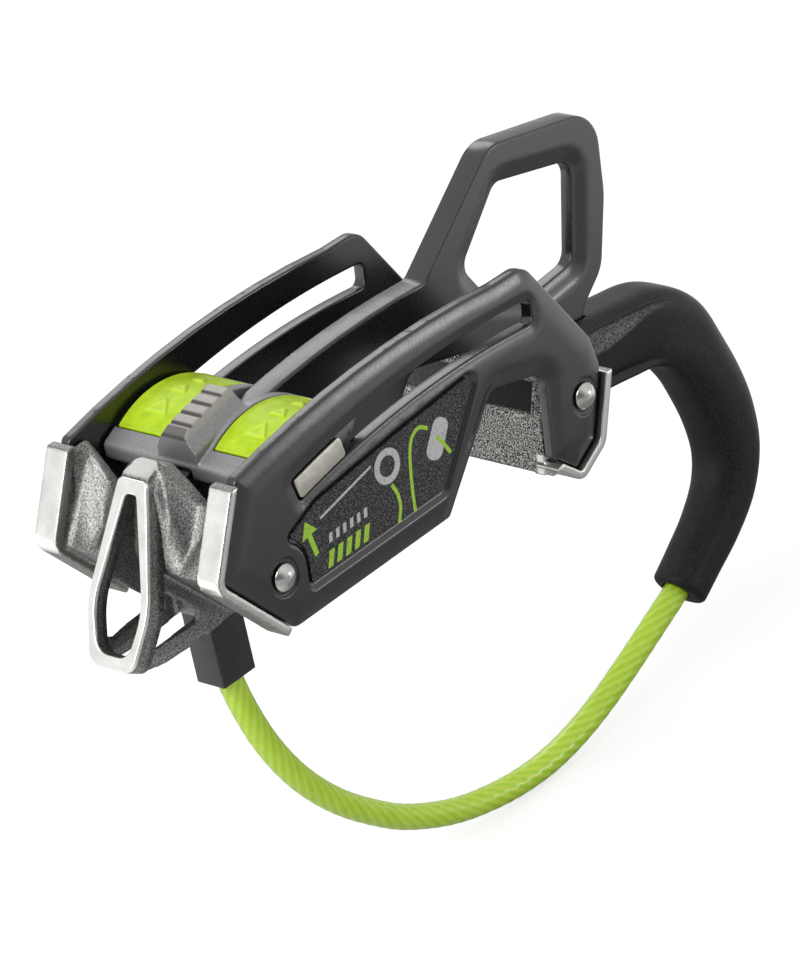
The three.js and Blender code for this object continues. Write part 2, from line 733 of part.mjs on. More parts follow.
function slider() {
  const half = betweenPlates - clearance / 2;
  const lip = rounded([
    [saddleFront, saddlePoint(saddleRadius, saddleFrontAngle).y, 0],
    [saddleFront - saddleLip, saddlePoint(saddleRadius, saddleFrontAngle).y - 0.4 * saddleLipDrop, tightRadius],
    [saddleFront - saddleLip, saddlePoint(saddleRadius, saddleFrontAngle).y - 1.5 * saddleLipDrop, tightRadius],
    [saddleFront + saddleLip, saddlePoint(saddleRadius, saddleFrontAngle).y - saddleLipDrop, 0],
    [saddleFront + saddleLip, saddlePoint(saddleRadius, saddleFrontAngle).y, 0],
  ]);
  const band = saddleBand(saddleRadius - saddleThickness, saddleRadius, saddleFrontAngle, saddleRearAngle);
  const cheekLoop = rounded([
    [saddleFront - saddleLip / 2, saddleTop - 2 * insertThickness - saddleThickness, tightRadius],
    [saddleFront, slotPeak - cheekDrop, tightRadius],
    [keyRear, slotPeak - cheekDrop, softRadius],
    [saddleRear - saddleLip / 2, saddleTop - 2 * saddleThickness, softRadius],
    [keyRear, saddleTop - saddleThickness / 2, 0],
    [keyFront, saddleTop - saddleThickness, 0],
  ]);
  let body = slab(band, -half, half).add(slab(lip, -half, half));
  body = body.add(slabPair(cheekLoop, half - cheekThickness, half)).add(tab());
  const runwayFrom = arcAngle(saddleFront - 3 * saddleLip, centreTopRadius);
  const runwayTo = arcAngle(saddleRear + 3 * saddleLip, centreTopRadius);
  const low = centreTopRadius - plateHeight;
  const runway = arcBand(low, centreTopRadius + clearance, runwayFrom, runwayTo, 8, [0, 0, 0, 0]);
  body = body.subtract(slab(runway, -centreFace - clearance, centreFace + clearance));
  const tabRear = saddleFront - saddleLip + crispRadius / 2 + tabLength;
  const notch = block(tabRear, rivetSpacing, -centreFace - clearance, centreFace + clearance, 0, plateHeight);
  body = body.subtract(notch);
  body = body.subtract(insertRoom(1, 0)).subtract(insertRoom(-1, 0));
  const keyRoom = slabPair(keyLoop(clearance), half - cheekThickness / 2 - clearance, half + overrun);
  const spring = detent();
  body = body.subtract(keyRoom).subtract(spring.bore);
  return piece('slider_body', body, sliderGrey, 0.35, 0.8);
}

function sliderInsert(name, side) {
  return piece(name, insertRoom(side, clearance), insertGreen, 0.35, 0);
}

// Guide key: seated in the slider's cheek and running in the side plate's slot
function sliderKey(name, side) {
  const low = betweenPlates - clearance / 2 - cheekThickness / 2;
  const high = sideOuter - keyInset;
  const body = side > 0 ? slab(keyLoop(0), low, high) : slab(keyLoop(0), -high, -low);
  return piece(name, body, keyGrey, 0.4, 0.7);
}

// Detent in the tab: a ball pressed on the centre plate's top edge by a small spring
const ballRadius = 1;
const springWire = 0.4;
const springCoils = 3;
function detent() {
  const x = saddleCentreX / 2;
  const floor = arcPoint(centreTopRadius, arcAngle(x, centreTopRadius)).y;
  const boreRadius = ballRadius + clearance;
  const top = floor + tabRise - detentRoof;
  const bore = new THREE.CylinderGeometry(boreRadius, boreRadius, top - floor + overrun, 20);
  bore.rotateX(Math.PI / 2);
  bore.translate(x, 0, (top + floor - overrun) / 2);
  return { bore: solid(bore), x, floor, top };
}

function detentBall() {
  const { x, floor } = detent();
  const ball = new THREE.SphereGeometry(ballRadius, 20, 12);
  ball.translate(x, 0, floor + ballRadius + clearance / 2);
  return piece('detent_ball', solid(ball), steelColour, 0.2, 1);
}

class Coil extends THREE.Curve {
  constructor(radius, pitch, turns, x, z) {
    super();
    Object.assign(this, { radius, pitch, turns, x, z });
  }

  getPoint(t, target = new THREE.Vector3()) {
    const angle = 2 * Math.PI * this.turns * t;
    const across = this.radius * Math.sin(angle);
    return target.set(this.x + this.radius * Math.cos(angle), across, this.z + this.pitch * this.turns * t);
  }
}

// Tube of one section along a curve
function tube(curve, radius, steps, sides, bore = 0) {
  const shape = new THREE.Shape(circle(0, 0, radius, sides));
  if (bore > 0) {
    shape.holes.push(new THREE.Path(circle(0, 0, bore, sides)));
  }
  return solid(new THREE.ExtrudeGeometry(shape, { steps, extrudePath: curve, bevelEnabled: false }));
}

function detentSpring() {
  const { x, floor, top } = detent();
  const bottom = floor + 2 * ballRadius + clearance / 2;
  const room = top - bottom - 2 * springWire;
  const radius = ballRadius - springWire / 2;
  const coil = new Coil(radius, room / springCoils, springCoils, x, bottom + springWire);
  return piece('detent_spring', tube(coil, springWire / 2, 8 * springCoils, 5), steelColour, 0.3, 1);
}

// Thumb handle: a hook lofted along a curve in the middle plane
const handleRootX = rivetSpacing - rivetShankRadius - clearance - handleRootWall;
const handleRootShare = 0.040;
const handlePath = new THREE.CatmullRomCurve3(
  [
    [(handleRootX - rivetSpacing) / handleReach, -handleRootShare],
    [0.150, -0.072],
    [0.370, -0.100],
    [0.568, -0.125],
    [0.716, -0.150],
    [0.826, -0.212],
    [0.899, -0.313],
    [0.956, -0.430],
    [0.996, -0.558],
    [1.000, -0.679],
    [0.952, -0.785],
    [0.855, -0.872],
    [0.745, -0.938],
    [0.637, -1.000],
  ].map(([x, z]) => new THREE.Vector3(rivetSpacing + x * handleReach, 0, z * handleDrop - rearRivetDrop)),
  false,
  'centripetal',
);

function handleSection(t) {
  const bend = THREE.MathUtils.smoothstep(t, 0.38, 0.56);
  const taper = THREE.MathUtils.smoothstep(t, 0.56, 1.0);
  const grip = THREE.MathUtils.lerp(handleGripDiameter, handleEndDiameter, taper);
  const height = THREE.MathUtils.lerp(handleRootHeight, grip, bend);
  const width = THREE.MathUtils.lerp(handleRootWidth, grip, bend);
  const squareness = THREE.MathUtils.lerp(4.2, 2, bend);
  return { height, width, squareness };
}

function handleRing(t, inset) {
  const centre = handlePath.getPointAt(t);
  const along = handlePath.getTangentAt(t);
  const across = new THREE.Vector3(0, 1, 0);
  const up = new THREE.Vector3().crossVectors(along, across).negate();
  const { height, width, squareness } = handleSection(t);
  const points = [];
  for (let i = 0; i < handleSides; i += 1) {
    const angle = (2 * Math.PI * i) / handleSides;
    const cos = Math.cos(angle);
    const sin = Math.sin(angle);
    const swell = (Math.abs(cos) ** squareness + Math.abs(sin) ** squareness) ** (-1 / squareness);
    const point = centre.clone();
    point.addScaledVector(across, (width / 2 - inset) * cos * swell);
    point.addScaledVector(up, (height / 2 - inset) * sin * swell);
    points.push(point);
  }
  return points;
}

function handle() {
  const length = handlePath.getLength();
  const rings = [handleRing(0, handleEndRadius)];
  const start = handleEndRadius / length;
  for (let i = 0; i <= handleStations; i += 1) {
    rings.push(handleRing(start + ((1 - 2 * start) * i) / handleStations, 0));
  }
  rings.push(handleRing(1 - 0.3 * start, 0.3 * handleEndRadius));
  rings.push(handleRing(1, handleEndRadius));
  let body = solid(loft(rings)).subtract(centreRelief());
  body = body.subtract(rivetHole(rivetSpacing, -rearRivetDrop)).subtract(rearCableRoom());
  return piece('thumb_handle', body, handleBlack, 0.75, 0);
}

// Cable route in the middle plane: up in the end block, round the loop and into the handle's end, in shares
// of the way from the block to the handle's end
const handleEnd = handlePath.points[handlePath.points.length - 1];
const cableReach = handleEnd.x - blockCentreX;
const cableDepth = -handleEnd.z;
const cableShares = [
  [0, -0.1562], [0, -0.2431], [0.0011, -0.3299], [0.0086, -0.4062], [0.0225, -0.4896],
  [0.0407, -0.5747], [0.0654, -0.6615], [0.0964, -0.7465], [0.1329, -0.8247], [0.1757, -0.8993],
  [0.225, -0.9687], [0.2808, -1.0365], [0.3429, -1.092], [0.4093, -1.1372], [0.4801, -1.1684],
  [0.5529, -1.1875], [0.6279, -1.191], [0.7008, -1.1753], [0.7715, -1.1441], [0.8401, -1.1024],
  [0.9066, -1.0573], [0.9559, -1.0226], [0.9998, -0.9913], [1.0459, -0.9479], [1.0802, -0.9097],
];
const cablePoints = cableShares.map(([x, z]) => (
  new THREE.Vector3(blockCentreX + x * cableReach, 0, z * cableDepth)
));
const cablePath = new THREE.CatmullRomCurve3(cablePoints);
class Stretch extends THREE.Curve {
  constructor(path, from, to) {
    super();
    Object.assign(this, { path, from, to });
  }

  getPoint(t, target = new THREE.Vector3()) {
    return this.path.getPointAt(THREE.MathUtils.lerp(this.from, this.to, t), target);
  }
}

const cableLength = cablePath.getLength();
const stretch = (from, to) => new Stretch(cablePath, from / cableLength, to / cableLength);
const sleeveStart = cablePoints[0].z - blockBottom - blockEntry;
const ferruleBore = coreDiameter / 2 + clearance / 2;

function ferrule(name, from, length) {
  const body = tube(stretch(from, from + length), ferruleDiameter / 2, 4, cableSides, ferruleBore);
  return piece(name, body, steelColour, 0.3, 1);
}

function cableCore() {
  const body = tube(stretch(clearance, cableLength - clearance), coreDiameter / 2, cableSteps, 8);
  return piece('cable_core', body, steelColour, 0.4, 1);
}

function cableSleeve() {
  const path = stretch(sleeveStart, cableLength - rearFerruleLength - clearance);
  const body = tube(path, sleeveDiameter / 2, cableSteps, cableSides, sleeveBore / 2);
  return piece('cable_sleeve', body, sleeveGreen, 0.3, 0);
}

// Bored end of the handle for the cable and its ferrule
function rearCableRoom() {
  const depth = rearFerruleLength + rearSleeveDepth;
  return tube(stretch(cableLength - depth, cableLength), sleeveDiameter / 2 + clearance, 8, cableSides);
}

function cableBlock() {
  const front = blockCentreX - blockLength / 2;
  const rear = blockCentreX + blockLength / 2;
  const body = block(front, rear, -blockWidth / 2, blockWidth / 2, blockBottom, blockTop);
  const mouth = cablePoints[0].z + clearance;
  const depth = mouth - blockBottom + overrun;
  const radius = sleeveDiameter / 2 + clearance;
  const bore = new THREE.CylinderGeometry(radius, radius, depth, 24);
  bore.rotateX(Math.PI / 2);
  bore.translate(blockCentreX, 0, mouth - depth / 2);
  return piece('cable_block', body.subtract(solid(bore)), handleBlack, 0.6, 0);
}

const device = new THREE.Group();
const bodies = [
  sidePlate('side_plate_left', -1),
  sidePlate('side_plate_right', 1),
  label('label_left', -1),
  label('label_right', 1),
  centrePlate(),
  frontInsert(),
  rearInsert(),
  rivet('front_rivet', 0, 0),
  rivet('rear_rivet', rivetSpacing, -rearRivetDrop),
  slider(),
  sliderInsert('slider_insert_left', -1),
  sliderInsert('slider_insert_right', 1),
  sliderKey('slider_key_left', -1),
  sliderKey('slider_key_right', 1),
  detentBall(),
  detentSpring(),
  handle(),
  cableBlock(),
  ferrule('front_ferrule', clearance, frontFerruleLength),
  ferrule('rear_ferrule', cableLength - rearFerruleLength, rearFerruleLength),
  cableCore(),
  cableSleeve(),
];
bodies.forEach((mesh) => device.add(mesh));

// The device's own box is centred on the origin
const middle = new THREE.Box3().setFromObject(device).getCenter(new THREE.Vector3());
bodies.forEach((mesh) => mesh.geometry.translate(-middle.x, -middle.y, -middle.z));

export default device;
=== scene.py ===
"""Looks of a two-rope braking belay device: black anodised plates, cast steel inserts, a mode slider,
a moulded thumb handle and a coated wire cable. Lengths are millimetres from the front rivet's axis until
row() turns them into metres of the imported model."""

import math
from contextlib import contextmanager

import bmesh
import bpy
import numpy as np
from mathutils import Matrix, Vector
from mathutils.geometry import delaunay_2d_cdt


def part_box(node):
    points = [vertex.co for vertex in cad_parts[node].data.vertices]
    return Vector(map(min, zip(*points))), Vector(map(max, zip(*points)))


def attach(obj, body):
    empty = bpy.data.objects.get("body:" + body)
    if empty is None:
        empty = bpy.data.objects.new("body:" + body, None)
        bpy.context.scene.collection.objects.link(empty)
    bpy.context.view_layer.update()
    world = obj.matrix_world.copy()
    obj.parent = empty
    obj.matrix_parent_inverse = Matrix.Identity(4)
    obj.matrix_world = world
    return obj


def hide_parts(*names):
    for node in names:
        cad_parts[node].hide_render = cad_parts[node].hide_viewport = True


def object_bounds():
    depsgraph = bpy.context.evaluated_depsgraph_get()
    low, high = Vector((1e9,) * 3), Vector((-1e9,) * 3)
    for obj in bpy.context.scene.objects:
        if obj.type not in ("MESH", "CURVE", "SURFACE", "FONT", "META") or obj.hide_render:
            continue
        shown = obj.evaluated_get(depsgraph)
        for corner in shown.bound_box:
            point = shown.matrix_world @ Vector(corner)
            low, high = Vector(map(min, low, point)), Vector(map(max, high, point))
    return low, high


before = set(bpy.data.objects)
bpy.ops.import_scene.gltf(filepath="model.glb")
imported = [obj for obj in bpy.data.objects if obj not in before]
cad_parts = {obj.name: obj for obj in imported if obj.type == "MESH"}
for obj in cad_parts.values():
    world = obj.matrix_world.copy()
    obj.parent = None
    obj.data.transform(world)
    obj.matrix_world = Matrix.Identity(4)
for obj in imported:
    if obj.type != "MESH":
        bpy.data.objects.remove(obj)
cad_box = [list(corner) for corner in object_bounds()]

MM = 0.001
rivet_low, rivet_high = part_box("front_rivet")
RIVET_AXIS = (Vector(rivet_low) + Vector(rivet_high)) / 2
ORIGIN = np.array([RIVET_AXIS.x, 0, RIVET_AXIS.z])

# Sizes that the solids have too
RIVET_SPACING = 65.2
REAR_RIVET_DROP = 4.6
PLATE_HEIGHT = 30.2
SIDE_INNER = 15.4
SIDE_OUTER = 18.0
CENTRE_FACE = 2.1
CLEARANCE = 0.3
SLOT_RADIUS = 152.0
SLOT_HEIGHT = 3.9
SLOT_PEAK = 0.4735 * PLATE_HEIGHT
ARC_CENTRE = np.array([0.59 * RIVET_SPACING, SLOT_PEAK - SLOT_RADIUS])
CENTRE_TOP_RADIUS = SLOT_RADIUS + 3.6
EYE_REACH = 30.2
EYE_RISE = 31.2
POCKET_DEPTH = 0.7
LABEL_TOP = SIDE_OUTER - POCKET_DEPTH + 0.3


def row(points):
    """Row-frame metres of points given in millimetres from the front rivet's axis."""
    return np.asarray(points, float) * MM + ORIGIN


def new_object(name, data):
    made = bpy.data.objects.new(name, data)
    bpy.context.scene.collection.objects.link(made)
    return made


# Camera: the photograph's long-lens view from front left and above
RIGHT = Vector((0.6496, -0.7357, -0.1919))
UP = Vector((0.4609, 0.1803, 0.8690))
BACK = Vector((-0.6047, -0.6529, 0.4561))
STAND = (-544.0, -632.3, 430.1)
lens = bpy.data.cameras.new("camera")
lens.sensor_width = 36
lens.lens = 242.8
lens.clip_start = 0.05
lens.clip_end = 20
camera = new_object("camera", lens)
turn = Matrix((RIGHT.normalized(), UP.normalized(), BACK.normalized())).transposed().to_4x4()
camera.matrix_world = Matrix.Translation(Vector(row([STAND])[0])) @ turn
bpy.context.scene.camera = camera


# Small helpers
def linear(code):
    """Linear colour of an sRGB hex value."""
    parts = [int(code[i:i + 2], 16) / 255 for i in (0, 2, 4)]
    return [c / 12.92 if c <= 0.04045 else ((c + 0.055) / 1.055) ** 2.4 for c in parts] + [1.0]


def wire(node, inputs):
    """Links or sets a node's inputs, by name or number. A colour may be given as its sRGB hex value."""
    for key, value in inputs.items() if isinstance(inputs, dict) else enumerate(inputs):
        socket = node.inputs[key]
        if isinstance(value, bpy.types.NodeSocket):
            node.id_data.links.new(value, socket)
        else:
            is_code = socket.type == "RGBA" and isinstance(value, str)
            socket.default_value = linear(value) if is_code else value


def add(tree, kind, inputs=(), output=0, **settings):
    """One of the outputs of a new node with its settings and inputs. Shader nodes go by their short kind."""
    node = tree.nodes.new(kind if kind.startswith(("Geometry", "NodeGroup")) else "ShaderNode" + kind)
    for key, value in settings.items():
        setattr(node, key, value)
    wire(node, inputs)
    return node.outputs[output] if len(node.outputs) else None


def per(size):
    """Pattern scale in Object coordinates for a feature of this many millimetres."""
    return 1 / (size * MM)


def ease(x):
    """Soft step from 0 to 1."""
    x = np.clip(x, 0, 1)
    return x * x * (3 - 2 * x)


def unit(vectors):
    """Rows of vectors scaled to length 1."""
    return vectors / np.linalg.norm(vectors, axis=1)[:, None]


def round_turn(count):
    """Cosines and sines of evenly spaced angles once round."""
    angles = np.linspace(0, 2 * math.pi, count, endpoint=False)
    return np.cos(angles), np.sin(angles)


def rounded(corners, steps=8):
    """Side-view outline from (x, z, radius) corners, each corner rounded by its own radius."""
    loop = []
    for i, corner in enumerate(corners):
        here = np.array(corner[:2], float)
        radius = corner[2] if len(corner) > 2 else 0
        if radius == 0:
            loop.append(here)
            continue
        before = np.array(corners[i - 1][:2]) - here
        after = np.array(corners[(i + 1) % len(corners)][:2]) - here
        room = min(np.linalg.norm(before), np.linalg.norm(after)) * 0.49
        before /= np.linalg.norm(before)
        after /= np.linalg.norm(after)
        half = math.acos(np.clip(before @ after, -1, 1)) / 2
        reach = min(radius / math.tan(half), room)
        arc = reach * math.tan(half)
        middle = here + (before + after) / np.linalg.norm(before + after) * arc / math.sin(half)
        start = here + before * reach - middle
        side = np.sign(after[0] * before[1] - after[1] * before[0])
        for k in range(steps + 1):
            a = side * (math.pi - 2 * half) * k / steps
            c, s = math.cos(a), math.sin(a)
            loop.append(middle + np.array([c * start[0] - s * start[1], s * start[0] + c * start[1]]))
    return np.array(loop)


def spaced(loop, step):
    """The same closed loop with points no further apart than step."""
    out = []
    for a, b in zip(loop, np.roll(loop, -1, 0)):
        count = max(1, math.ceil(np.linalg.norm(b - a) / step))
        out.extend(a + (b - a) * k / count for k in range(count))
    return np.array(out)


def grow(loop, distance):
    """Outline moved outwards by a distance, or inwards by a negative one."""
    ahead = unit(np.roll(loop, -1, 0) - loop)
    behind = np.roll(ahead, 1, 0)
    normal = unit(np.stack([behind[:, 1] + ahead[:, 1], -behind[:, 0] - ahead[:, 0]], 1))
    return loop + normal * distance


def circle(x, z, radius, count=48):
    cos, sin = round_turn(count)
    return np.stack([x + radius * cos, z + radius * sin], 1)


def gap_to(points, loop, closed=True):
    """Distance of each point from a line of points."""
    ends = np.roll(loop, -1, 0) if closed else loop[1:]
    starts = loop if closed else loop[:-1]
    best = np.full(len(points), 1e9)
    for a, b in zip(starts, ends):
        span = b - a
        share = np.clip(((points - a) @ span) / (span @ span + 1e-12), 0, 1)
        away = points - a - share[:, None] * span
        best = np.minimum(best, np.einsum("ij,ij->i", away, away))
    return np.sqrt(best)


def within(points, loop):
    """True for points inside a closed loop."""
    x, z = points[:, 0], points[:, 1]
    inside = np.zeros(len(points), bool)
    for (x0, z0), (x1, z1) in zip(loop, np.roll(loop, -1, 0)):
        if z0 == z1:
            continue
        crosses = (z0 > z) != (z1 > z)
        inside ^= crosses & (x < (x1 - x0) * (z - z0) / (z1 - z0) + x0)
    return inside


@contextmanager
def reworked(mesh):
    """A mesh opened for editing and written back."""
    work = bmesh.new()
    work.from_mesh(mesh)
    yield work
    work.to_mesh(mesh)
    work.free()


def mesh_object(name, points, faces, metres=False):
    mesh = bpy.data.meshes.new(name)
    mesh.from_pydata([tuple(p) for p in (points if metres else row(points))], [], [tuple(f) for f in faces])
    return new_object(name, mesh)


def outward(form, smooth=True):
    """Merges doubles, turns every face outwards and smooths the shading."""
    with reworked(form.data) as work:
        bmesh.ops.remove_doubles(work, verts=work.verts, dist=1e-7)
        bmesh.ops.recalc_face_normals(work, faces=work.faces)
        for face in work.faces:
            face.smooth = smooth
    return form


def skin(name, rings, metres=False):
    """Closed form over rings with the same number of points each."""
    sides = len(rings[0])
    last = (len(rings) - 1) * sides
    faces = []
    for start in range(0, last, sides):
        for i in range(sides):
            j = (i + 1) % sides
            faces.append((start + i, start + j, start + sides + j, start + sides + i))
    faces += [tuple(range(sides))[::-1], tuple(range(last, last + sides))]
    return outward(mesh_object(name, np.vstack(rings), faces, metres))


def settle(form):
    """Turns a form and its modifiers into a plain mesh."""
    bpy.context.view_layer.update()
    graph = bpy.context.evaluated_depsgraph_get()
    plain = bpy.data.meshes.new_from_object(form.evaluated_get(graph))
    plain.name = form.name
    if form.type == "MESH":
        form.modifiers.clear()
        form.data = plain
        return form
    name = form.name
    bpy.data.objects.remove(form)
    return new_object(name, plain)


def copy_of(node, name):
    """A merged copy of a CAD node's mesh as a new form."""
    form = new_object(name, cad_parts[node].data.copy())
    form.data.materials.clear()
    with reworked(form.data) as work:
        bmesh.ops.remove_doubles(work, verts=work.verts, dist=1e-6)
        bmesh.ops.dissolve_limit(work, angle_limit=math.radians(1), verts=work.verts, edges=work.edges)
    return form


def paint(form, material):
    """Gives a form one material."""
    form.data.materials.clear()
    form.data.materials.append(material)


def fit(form, nodes, body, material=None):
    """Gives a finished form its material and body, and hides the CAD nodes that it stands for."""
    if material:
        paint(form, material)
    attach(form, body)
    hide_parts(*nodes)


def catmull(points, samples=24):
    """Centripetal curve through the points."""
    pts = np.array(points, float)
    pts = np.vstack([2 * pts[0] - pts[1], pts, 2 * pts[-1] - pts[-2]])
    out = []
    share = np.linspace(0, 1, samples, endpoint=False)[:, None]
    for p0, p1, p2, p3 in zip(pts, pts[1:], pts[2:], pts[3:]):
        d0, d1, d2 = (np.linalg.norm(b - a) ** 0.5 for a, b in ((p0, p1), (p1, p2), (p2, p3)))
        t1 = ((p1 - p0) / d0 - (p2 - p0) / (d0 + d1) + (p2 - p1) / d1) * d1
        t2 = ((p2 - p1) / d1 - (p3 - p1) / (d1 + d2) + (p3 - p2) / d2) * d1
        cubic = (2 * p1 - 2 * p2 + t1 + t2) * share ** 3
        out.append(p1 + t1 * share + (3 * p2 - 3 * p1 - 2 * t1 - t2) * share ** 2 + cubic)
    return np.vstack(out + [pts[-2:-1]])


def lengths(line):
    """Distance from the start of a line to each of its points."""
    return np.concatenate([[0], np.cumsum(np.linalg.norm(np.diff(line, axis=0), axis=1))])


def walk(line, at):
    """Points at distances along a line."""
    along = lengths(line)
    return np.stack([np.interp(at, along, line[:, k]) for k in range(line.shape[1])], 1)


# Materials. A mix has its share at socket 0 and two numbers at 2 and 3, or two colours at 6 and 7 and their
# result at output 2. A map range has its value, its two ends and what they become at sockets 0 to 4
COLOUR = {"output": 2, "data_type": "RGBA"}


def finish_of(name):
    """A material named for its finish, with its tree, its shader and Object coordinates."""
    material = bpy.data.materials.new(name)
    material.use_nodes = True
    tree = material.node_tree
    return material, tree, tree.nodes["Principled BSDF"], add(tree, "TexCoord", output="Object")


def mottle(tree, place, size, detail=3, roughness=0.55, start=0.3, end=0.7):
    """Noise with features of this many millimetres, and its share of the way from start to end."""
    pattern = add(tree, "TexNoise", {
        "Vector": place, "Scale": per(size), "Detail": detail, "Roughness": roughness})
    return pattern, add(tree, "MapRange", (pattern, start, end))


def dress(shader, colour, rough, relief, others=()):
    """Gives a shader its colour, its roughness, its relief (pattern, strength, millimetres) and the rest."""
    pattern, strength, depth = relief
    bump = add(shader.id_data, "Bump", {"Height": pattern, "Strength": strength, "Distance": depth * MM})
    wire(shader, {"Base Color": colour, "Roughness": rough, "Normal": bump, **dict(others)})


def anodised():
    """Black anodised aluminium, tumbled before anodising: satin, with faint grain and a cloudy black."""
    material, tree, shader, place = finish_of("black_anodised_aluminium")
    cloud = mottle(tree, place, 9)[1]
    pattern, grain = mottle(tree, place, 0.3, 2)
    colour = add(tree, "Mix", {0: cloud, 6: "0e0e0f", 7: "151516"}, **COLOUR)
    rough = add(tree, "MapRange", {0: grain, 3: 0.22, 4: 0.29})
    dress(shader, colour, rough, (pattern, 0.25, 0.006), {"Specular IOR Level": 0.85})
    return material


def cast_steel():
    """Investment-cast stainless steel, shot blasted, with its outer faces ground and polished."""
    material, tree, shader, place = finish_of("blasted_cast_steel")
    polish = add(tree, "Attribute", output="Fac", attribute_name="polish")
    pattern, grain = mottle(tree, place, 0.25, 3, 0.6, 0.35, 0.65)
    cloud = mottle(tree, place, 4)[1]
    dull = add(tree, "Mix", {0: grain, 6: "4d4c4b", 7: "a09f9d"}, **COLOUR)
    bright = add(tree, "Mix", {0: cloud, 6: "dddcd9", 7: "eeedea"}, **COLOUR)
    colour = add(tree, "Mix", {0: polish, 6: dull, 7: bright}, **COLOUR)
    blasted = add(tree, "MapRange", (pattern, 0.3, 0.7, 0.36, 0.5))
    polished = add(tree, "MapRange", {0: cloud, 3: 0.2, 4: 0.28})
    rough = add(tree, "Mix", {0: polish, 2: blasted, 3: polished})
    coarse = add(tree, "Math", (1.05, polish), operation="SUBTRACT")
    height = add(tree, "Math", (pattern, coarse), operation="MULTIPLY")
    dress(shader, colour, rough, (height, 0.85, 0.07), {"Metallic": 1})
    return material


def blasted_steel():
    """The rear casting: steel blasted with coarse grit, its facets' glints painted into the colour as light
    specks. Its rims and its rope wall are rubbed bright, and the upper rope wall is also a painted highlight
    of the light from above."""
    material, tree, shader, place = finish_of("grit_blasted_steel")
    smooth = add(tree, "Attribute", output="Fac", attribute_name="smooth")
    polish = add(tree, "Attribute", output="Fac", attribute_name="polish")
    pattern, grit = mottle(tree, place, 0.25, 2, 0.6)
    # Painted glints: light specks on near-black stand in for grit facets catching the light
    glint = add(tree, "MapRange", (pattern, 0.42, 0.62))
    sparkle = add(tree, "Mix", {0: glint, 6: "181817", 7: "bdbcb9"}, **COLOUR)
    dull = add(tree, "Mix", {0: grit, 6: "343433", 7: "555452"}, **COLOUR)
    shade = add(tree, "Mix", {0: smooth, 6: sparkle, 7: dull}, **COLOUR)
    # Near-white on the rubbed rims and rope wall, and a painted highlight on the upper rope wall
    colour = add(tree, "Mix", {0: polish, 6: shade, 7: "dad9d6"}, **COLOUR)
    blasted = add(tree, "MapRange", {0: grit, 3: 0.5, 4: 0.3})
    rough = add(tree, "Mix", {0: polish, 2: blasted, 3: 0.27})
    even = add(tree, "Math", (smooth, polish), operation="MAXIMUM")
    coarse = add(tree, "Math", (1, even), operation="SUBTRACT")
    height = add(tree, "Math", (pattern, coarse), operation="MULTIPLY")
    dress(shader, colour, rough, (height, 1, 0.09), {"Metallic": 1})
    return material


def plain_steel(name, low, high, rough_low, rough_high, size, strength):
    """Bare steel with clouds in its colour and finer ones in its gloss."""
    material, tree, shader, place = finish_of(name)
    cloud = mottle(tree, place, size)[1]
    pattern, fine = mottle(tree, place, size / 9, 2)
    colour = add(tree, "Mix", {0: cloud, 6: low, 7: high}, **COLOUR)
    rough = add(tree, "MapRange", {0: fine, 3: rough_low, 4: rough_high})
    dress(shader, colour, rough, (pattern, strength, 0.02), {"Metallic": 1})
    return material


def satin_slider():
    """Hard-coated cast aluminium: grey satin. Thumb wear brightens its ridge tops, which are also painted
    lighter on every up-facing face as a painted highlight of light from above, and their risers are painted
    shade.
    """
    material, tree, shader, place = finish_of("satin_hard_coat")
    worn = add(tree, "Attribute", output="Fac", attribute_name="worn")
    riser = add(tree, "Attribute", output="Fac", attribute_name="riser")
    grain = mottle(tree, place, 0.35, 2)[1]
    streak = add(tree, "Mapping", {"Vector": place, "Scale": (0.2, 1, 1)})
    pattern, brushed = mottle(tree, streak, 0.16, 2)
    base = add(tree, "Mix", {0: grain, 6: "87868a", 7: "999899"}, **COLOUR)
    # Wear and painted highlight: up-facing faces of the tab get a lighter grey
    rubbed = add(tree, "Mix", {0: worn, 6: base, 7: "9d9a94"}, **COLOUR)
    # Painted shade: the forward-facing risers of the tab's ridges are darkened
    colour = add(tree, "Mix", {0: riser, 6: rubbed, 7: "4b4a49"}, **COLOUR)
    rough = add(tree, "MapRange", {0: brushed, 3: 0.42, 4: 0.52})
    dress(shader, colour, rough, (pattern, 0.3, 0.015), {"Metallic": 0.6})
    return material


def label_film():
    """Printed polyester film with a sanded face: dark grey, full of light specks."""
    material, tree, shader, place = finish_of("sanded_label_film")
    pattern, speck = mottle(tree, place, 0.21, 1, 0.5, 0.52, 0.7)
    colour = add(tree, "Mix", {0: speck, 6: "161617", 7: "808082"}, **COLOUR)
    dress(shader, colour, 0.72, (pattern, 0.5, 0.02))
    return material


def ink(name, code, shade):
    """Screen-printed ink over the sanded film, whose specks darken it a little."""
    material, tree, shader, place = finish_of(name)
    pattern, speck = mottle(tree, place, 0.24, 2, end=0.5)
    colour = add(tree, "Mix", {0: speck, 6: shade, 7: code}, **COLOUR)
    rough = add(tree, "MapRange", (pattern, 0.3, 0.7, 0.5, 0.65))
    dress(shader, colour, rough, (pattern, 0.2, 0.01))
    return material


def clear_green():
    """Clear-tinted polycarbonate with a soft sheen: green, and paler where the embossing stands up."""
    material, tree, shader, place = finish_of("green_polycarbonate")
    raised = add(tree, "Attribute", output="Fac", attribute_name="raised")
    cloud = mottle(tree, place, 2.2)[1]
    base = add(tree, "Mix", {0: cloud, 6: "a4c612", 7: "bedc2e"}, **COLOUR)
    colour = add(tree, "Mix", {0: raised, 6: base, 7: "bfdc44"}, **COLOUR)
    rough = add(tree, "MapRange", {0: cloud, 3: 0.42, 4: 0.52})
    waves = add(tree, "TexNoise", {"Vector": place, "Scale": per(1.1), "Detail": 2, "Roughness": 0.55})
    dress(shader, colour, rough, (waves, 0.15, 0.05), {
        "Subsurface Weight": 0.35, "Subsurface Radius": (0.001, 0.0012, 0.0003), "Subsurface Scale": 1,
        "Specular IOR Level": 0.25})
    return material


